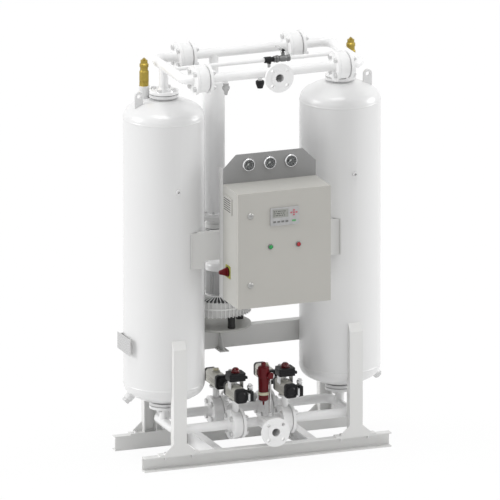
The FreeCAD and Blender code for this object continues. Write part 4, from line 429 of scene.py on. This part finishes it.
def paint_machines():
    paint("blower_support", FRAME_GREY,
          (BASE_GREY, lambda c, n: within(c.z, BASE_PLATE_Z)),
          (RUBBER, lambda c, n: c.z >= BASE_PLATE_Z[1]))
    # The faces between the fins take a darker copy of the housing paint, and the grille slots take
    # near-black paint: both are painted shade.
    paint("blower_housing", HOUSING_GREY,
          (FIN_SHADE, lambda c, n: reach(c, *BLOWER) < FIN_R and within(c.z, FIN_Z) and abs(n.z) < 0.97),
          (SLOT_SHADE, lambda c, n: reach(c, *BLOWER) < GRILLE_R and within(c.z, GRILLE_Z)))
    paint("blower_rotor", CAST_ALUMINIUM)
    paint("blower_motor", MOTOR_GREY, (WHITE, lambda c, n: c.z > COWL_Z))
    # The walls of the vent openings take near-black paint as painted shade.
    paint("heater_head", FRAME_WHITE,
          (SLOT_SHADE, in_vent_ring),
          (STEEL, lambda c, n: c.z > HEAD_TOP_Z))
    paint("purge_line", PIPE_WHITE,
          (BLACK, lambda c, n: within(c.x, REGULATOR_X)),
          (GREY_PLASTIC, lambda c, n: within(c.x, REGULATOR_X) and c.z < REGULATOR_LOW_Z),
          (DARK_STEEL, lambda c, n: within(c.x, BALL_VALVE_X)))
    paint("purge_lever", STEEL, (BLACK, lambda c, n: c.y < LEVER_GRIP_Y))
    paint("pipe_sensors", BLACK, (GREY_PLASTIC, lambda c, n: c.x < LEFT_SENSOR_X or c.y > 0))
    paint("pilot_filter", DARK_RED,
          (CREAM, lambda c, n: within(c.z, FILTER_BAND_Z) and reach(c, *FILTER) > FILTER_BAND_R),
          (STEEL, lambda c, n: c.x > FILTER[0] + RISER_OFFSET))


# Surface details

def new_piece(name, mesh, material, body="frame"):
    piece = bpy.data.objects.new(name, mesh)
    bpy.context.scene.collection.objects.link(piece)
    mesh.materials.append(material)
    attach(piece, body)
    return piece


def mesh_from(form, name, smooth=False):
    mesh = bpy.data.meshes.new(name)
    form.to_mesh(mesh)
    form.free()
    for face in mesh.polygons:
        face.use_smooth = smooth
    return mesh


def bead_ring(form, centre, axis, radius, half_width, steps=160):
    """A welded bead round a centre: a low rippled band across the joint."""
    turn = axis.to_track_quat("Z", "Y").to_matrix()
    profile = [(-1.0, 0.0), (-0.55, 0.75), (0.0, 1.0), (0.55, 0.75), (1.0, 0.0)]
    loops = []
    for k in range(steps):
        angle = 2 * math.pi * k / steps
        swell = 1.0 + 0.18 * math.sin(angle * steps / 3)
        loop = []
        for across, rise in profile:
            r = radius + half_width * 0.32 * rise * swell - 0.0004
            local = Vector((r * math.cos(angle), r * math.sin(angle), across * half_width))
            loop.append(form.verts.new(centre + turn @ local))
        loops.append(loop)
    for k in range(steps):
        here, there = loops[k], loops[(k + 1) % steps]
        for a in range(len(profile) - 1):
            form.faces.new((here[a], there[a], there[a + 1], here[a + 1]))


def tower_welds():
    form = bmesh.new()
    for x in TOWERS:
        for z in SEAMS:
            bead_ring(form, Vector((x, 0, z)), Vector((0, 0, 1)), TOWER_R, BEAD_HALF)
        for z in NOZZLE_SEAMS:
            bead_ring(form, Vector((x, 0, z)), Vector((0, 0, 1)), NOZZLE_R, BEAD_HALF, 72)
    new_piece("tower_weld_beads", mesh_from(form, "tower_welds", True), WHITE)


def tick_box(form, centre, size, turn):
    """A flat mark in the dial's plane, turned about its gauge's axis."""
    corners = []
    for dx, dz in ((-1, -1), (1, -1), (1, 1), (-1, 1)):
        for dy in (0, 1):
            local = Vector((dx * size[0] / 2, -dy * size[1], dz * size[2] / 2))
            corners.append(form.verts.new(centre + turn @ local))
    front = [corners[1], corners[3], corners[5], corners[7]]
    back = [corners[0], corners[6], corners[4], corners[2]]
    form.faces.new(front)
    form.faces.new(back)
    for k in range(4):
        a, b = 2 * k, 2 * ((k + 1) % 4)
        form.faces.new((corners[a], corners[b], corners[b + 1], corners[a + 1]))


def dial_marks():
    """Scale ticks over 270 degrees on each dial, every fifth one longer."""
    form = bmesh.new()
    for x in GAUGES:
        for k in range(TICKS + 1):
            angle = math.radians(DIAL_START - DIAL_SWEEP * k / TICKS)
            major = k % 5 == 0
            long = 0.0045 if major else 0.0024
            middle = TICK_OUTER_R - long / 2
            spot = Vector((x + middle * math.cos(angle), TICK_Y, GAUGE_Z + middle * math.sin(angle)))
            turn = Matrix.Rotation(math.pi / 2 - angle, 3, "Y")
            tick_box(form, spot, (0.0009 if major else 0.0004, 0.00015, long), turn)
    new_piece("dial_marks", mesh_from(form, "dial_marks"), DIAL_MARK)


def dial_numbers():
    """Plain figures round each dial."""
    for g, x in enumerate(GAUGES):
        for k in range(0, 9, 2):
            angle = math.radians(DIAL_START - DIAL_SWEEP * k / 8)
            text = bpy.data.curves.new(f"dial_number_{g}_{k}", "FONT")
            text.body = str(k * 2)
            text.size = 0.0062
            text.align_x = "CENTER"
            text.align_y = "CENTER"
            text.extrude = 0.00006
            piece = bpy.data.objects.new(f"dial_number_{g}_{k}", text)
            piece.location = (x + NUMBER_R * math.cos(angle), NUMBER_Y, GAUGE_Z + NUMBER_R * math.sin(angle))
            piece.rotation_euler = (math.pi / 2, 0, 0)
            bpy.context.scene.collection.objects.link(piece)
            text.materials.append(DIAL_MARK)
            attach(piece, "frame")


def display_rows():
    """Generic segment figures on the display: rows of small blocks."""
    form = bmesh.new()
    flat = Matrix.Identity(3)
    widths = ((3, 2, 5, 2, 4), (4, 6, 2, 3), (2, 5, 3, 3, 2))
    for row, group in enumerate(widths):
        z = ROW_TOP_Z - ROW_PITCH * row
        x = ROW_LEFT_X
        for count in group:
            for k in range(count):
                tick_box(form, Vector((x, ROW_Y, z)), (0.0022, 0.00012, 0.0046), flat)
                x += CELL_PITCH
            x += WORD_GAP
    new_piece("display_figures", mesh_from(form, "display_figures"), LCD_INK, body="door")


def vent_slot_shade():
    """Painted shade in the louvre slots: dark strips on the vent cover."""
    form = bmesh.new()
    side = Matrix.Rotation(math.pi / 2, 3, "Z")
    for k in range(VENT_SLOTS):
        z = VENT_Z + VENT_PITCH * (k - (VENT_SLOTS - 1) / 2)
        tick_box(form, Vector((VENT_X, SWITCH_Y, z)), (0.092, -0.0002, 0.0042), side)
    new_piece("vent_slot_shade", mesh_from(form, "vent_slot_shade"), SLOT_SHADE)


# Studio

def seen_rays(tree):
    """One for rays that reach the eye straight, through glass or by a mirror, else nought."""
    path = tree.nodes.new("ShaderNodeLightPath")
    share = path.outputs["Is Camera Ray"]
    for kind in ("Is Transmission Ray", "Is Glossy Ray"):
        larger = tree.nodes.new("ShaderNodeMath")
        larger.operation = "MAXIMUM"
        tree.links.new(share, larger.inputs[0])
        tree.links.new(path.outputs[kind], larger.inputs[1])
        share = larger.outputs["Value"]
    return share


def studio():
    scene = bpy.context.scene
    scene.view_settings.view_transform = "Standard"
    world = bpy.data.worlds.new("studio")
    scene.world = world
    world.use_nodes = True
    tree = world.node_tree
    background = tree.nodes["Background"]
    level = tree.nodes.new("ShaderNodeMapRange")
    level.inputs["To Min"].default_value = AMBIENT
    level.inputs["To Max"].default_value = 1.0
    tree.links.new(seen_rays(tree), level.inputs["Value"])
    tree.links.new(level.outputs["Result"], background.inputs["Strength"])
    background.inputs["Color"].default_value = (1, 1, 1, 1)


def floor():
    form = bmesh.new()
    bmesh.ops.create_grid(form, x_segments=1, y_segments=1, size=40)
    mesh = mesh_from(form, "floor")
    piece = bpy.data.objects.new("floor", mesh)
    bpy.context.scene.collection.objects.link(piece)
    material, tree, surface = shader("floor_white")
    surface.inputs["Base Color"].default_value = (0.85, 0.85, 0.85, 1)
    surface.inputs["Roughness"].default_value = 0.8
    surface.inputs["Specular IOR Level"].default_value = 0.0
    glow = tree.nodes.new("ShaderNodeEmission")
    blend = tree.nodes.new("ShaderNodeMixShader")
    share = tree.nodes.new("ShaderNodeMath")
    share.operation = "MULTIPLY"
    share.inputs[1].default_value = FLOOR_GLOW
    tree.links.new(seen_rays(tree), share.inputs[0])
    tree.links.new(share.outputs["Value"], blend.inputs["Fac"])
    tree.links.new(surface.outputs["BSDF"], blend.inputs[1])
    tree.links.new(glow.outputs["Emission"], blend.inputs[2])
    tree.links.new(blend.outputs["Shader"], tree.nodes["Material Output"].inputs["Surface"])
    mesh.materials.append(material)
    piece.location = (0, 0, -0.0005)


def sun(name, towards, strength, spread_degrees):
    light = bpy.data.lights.new(name, "SUN")
    light.energy = strength
    light.angle = math.radians(spread_degrees)
    lamp = bpy.data.objects.new(name, light)
    lamp.rotation_euler = Vector(towards).to_track_quat("-Z", "Y").to_euler()
    bpy.context.scene.collection.objects.link(lamp)


def camera():
    data = bpy.data.cameras.new("camera")
    data.sensor_width = SENSOR
    data.lens = SENSOR * DISTANCE / VIEW_WIDTH
    data.clip_start = 10
    data.clip_end = 600
    eye = bpy.data.objects.new("camera", data)
    away = Vector((math.sin(AZIMUTH) * math.cos(ELEVATION), -math.cos(AZIMUTH) * math.cos(ELEVATION),
                   math.sin(ELEVATION)))
    eye.location = TARGET + away * DISTANCE
    eye.rotation_euler = (-away).to_track_quat("-Z", "Y").to_euler()
    bpy.context.scene.collection.objects.link(eye)
    bpy.context.scene.camera = eye


paint_structure()
paint_valves()
paint_cabinet()
paint_gauges()
paint_machines()
tower_welds()
dial_marks()
dial_numbers()
display_rows()
vent_slot_shade()
studio()
floor()
sun("key_from_left", (0.93, -0.22, -0.34), 1.4, 30)
sun("light_from_above", (0.05, 0.15, -0.97), 1.4, 40)
sun("light_from_right", (-0.96, 0.15, -0.25), 1.15, 30)
camera()
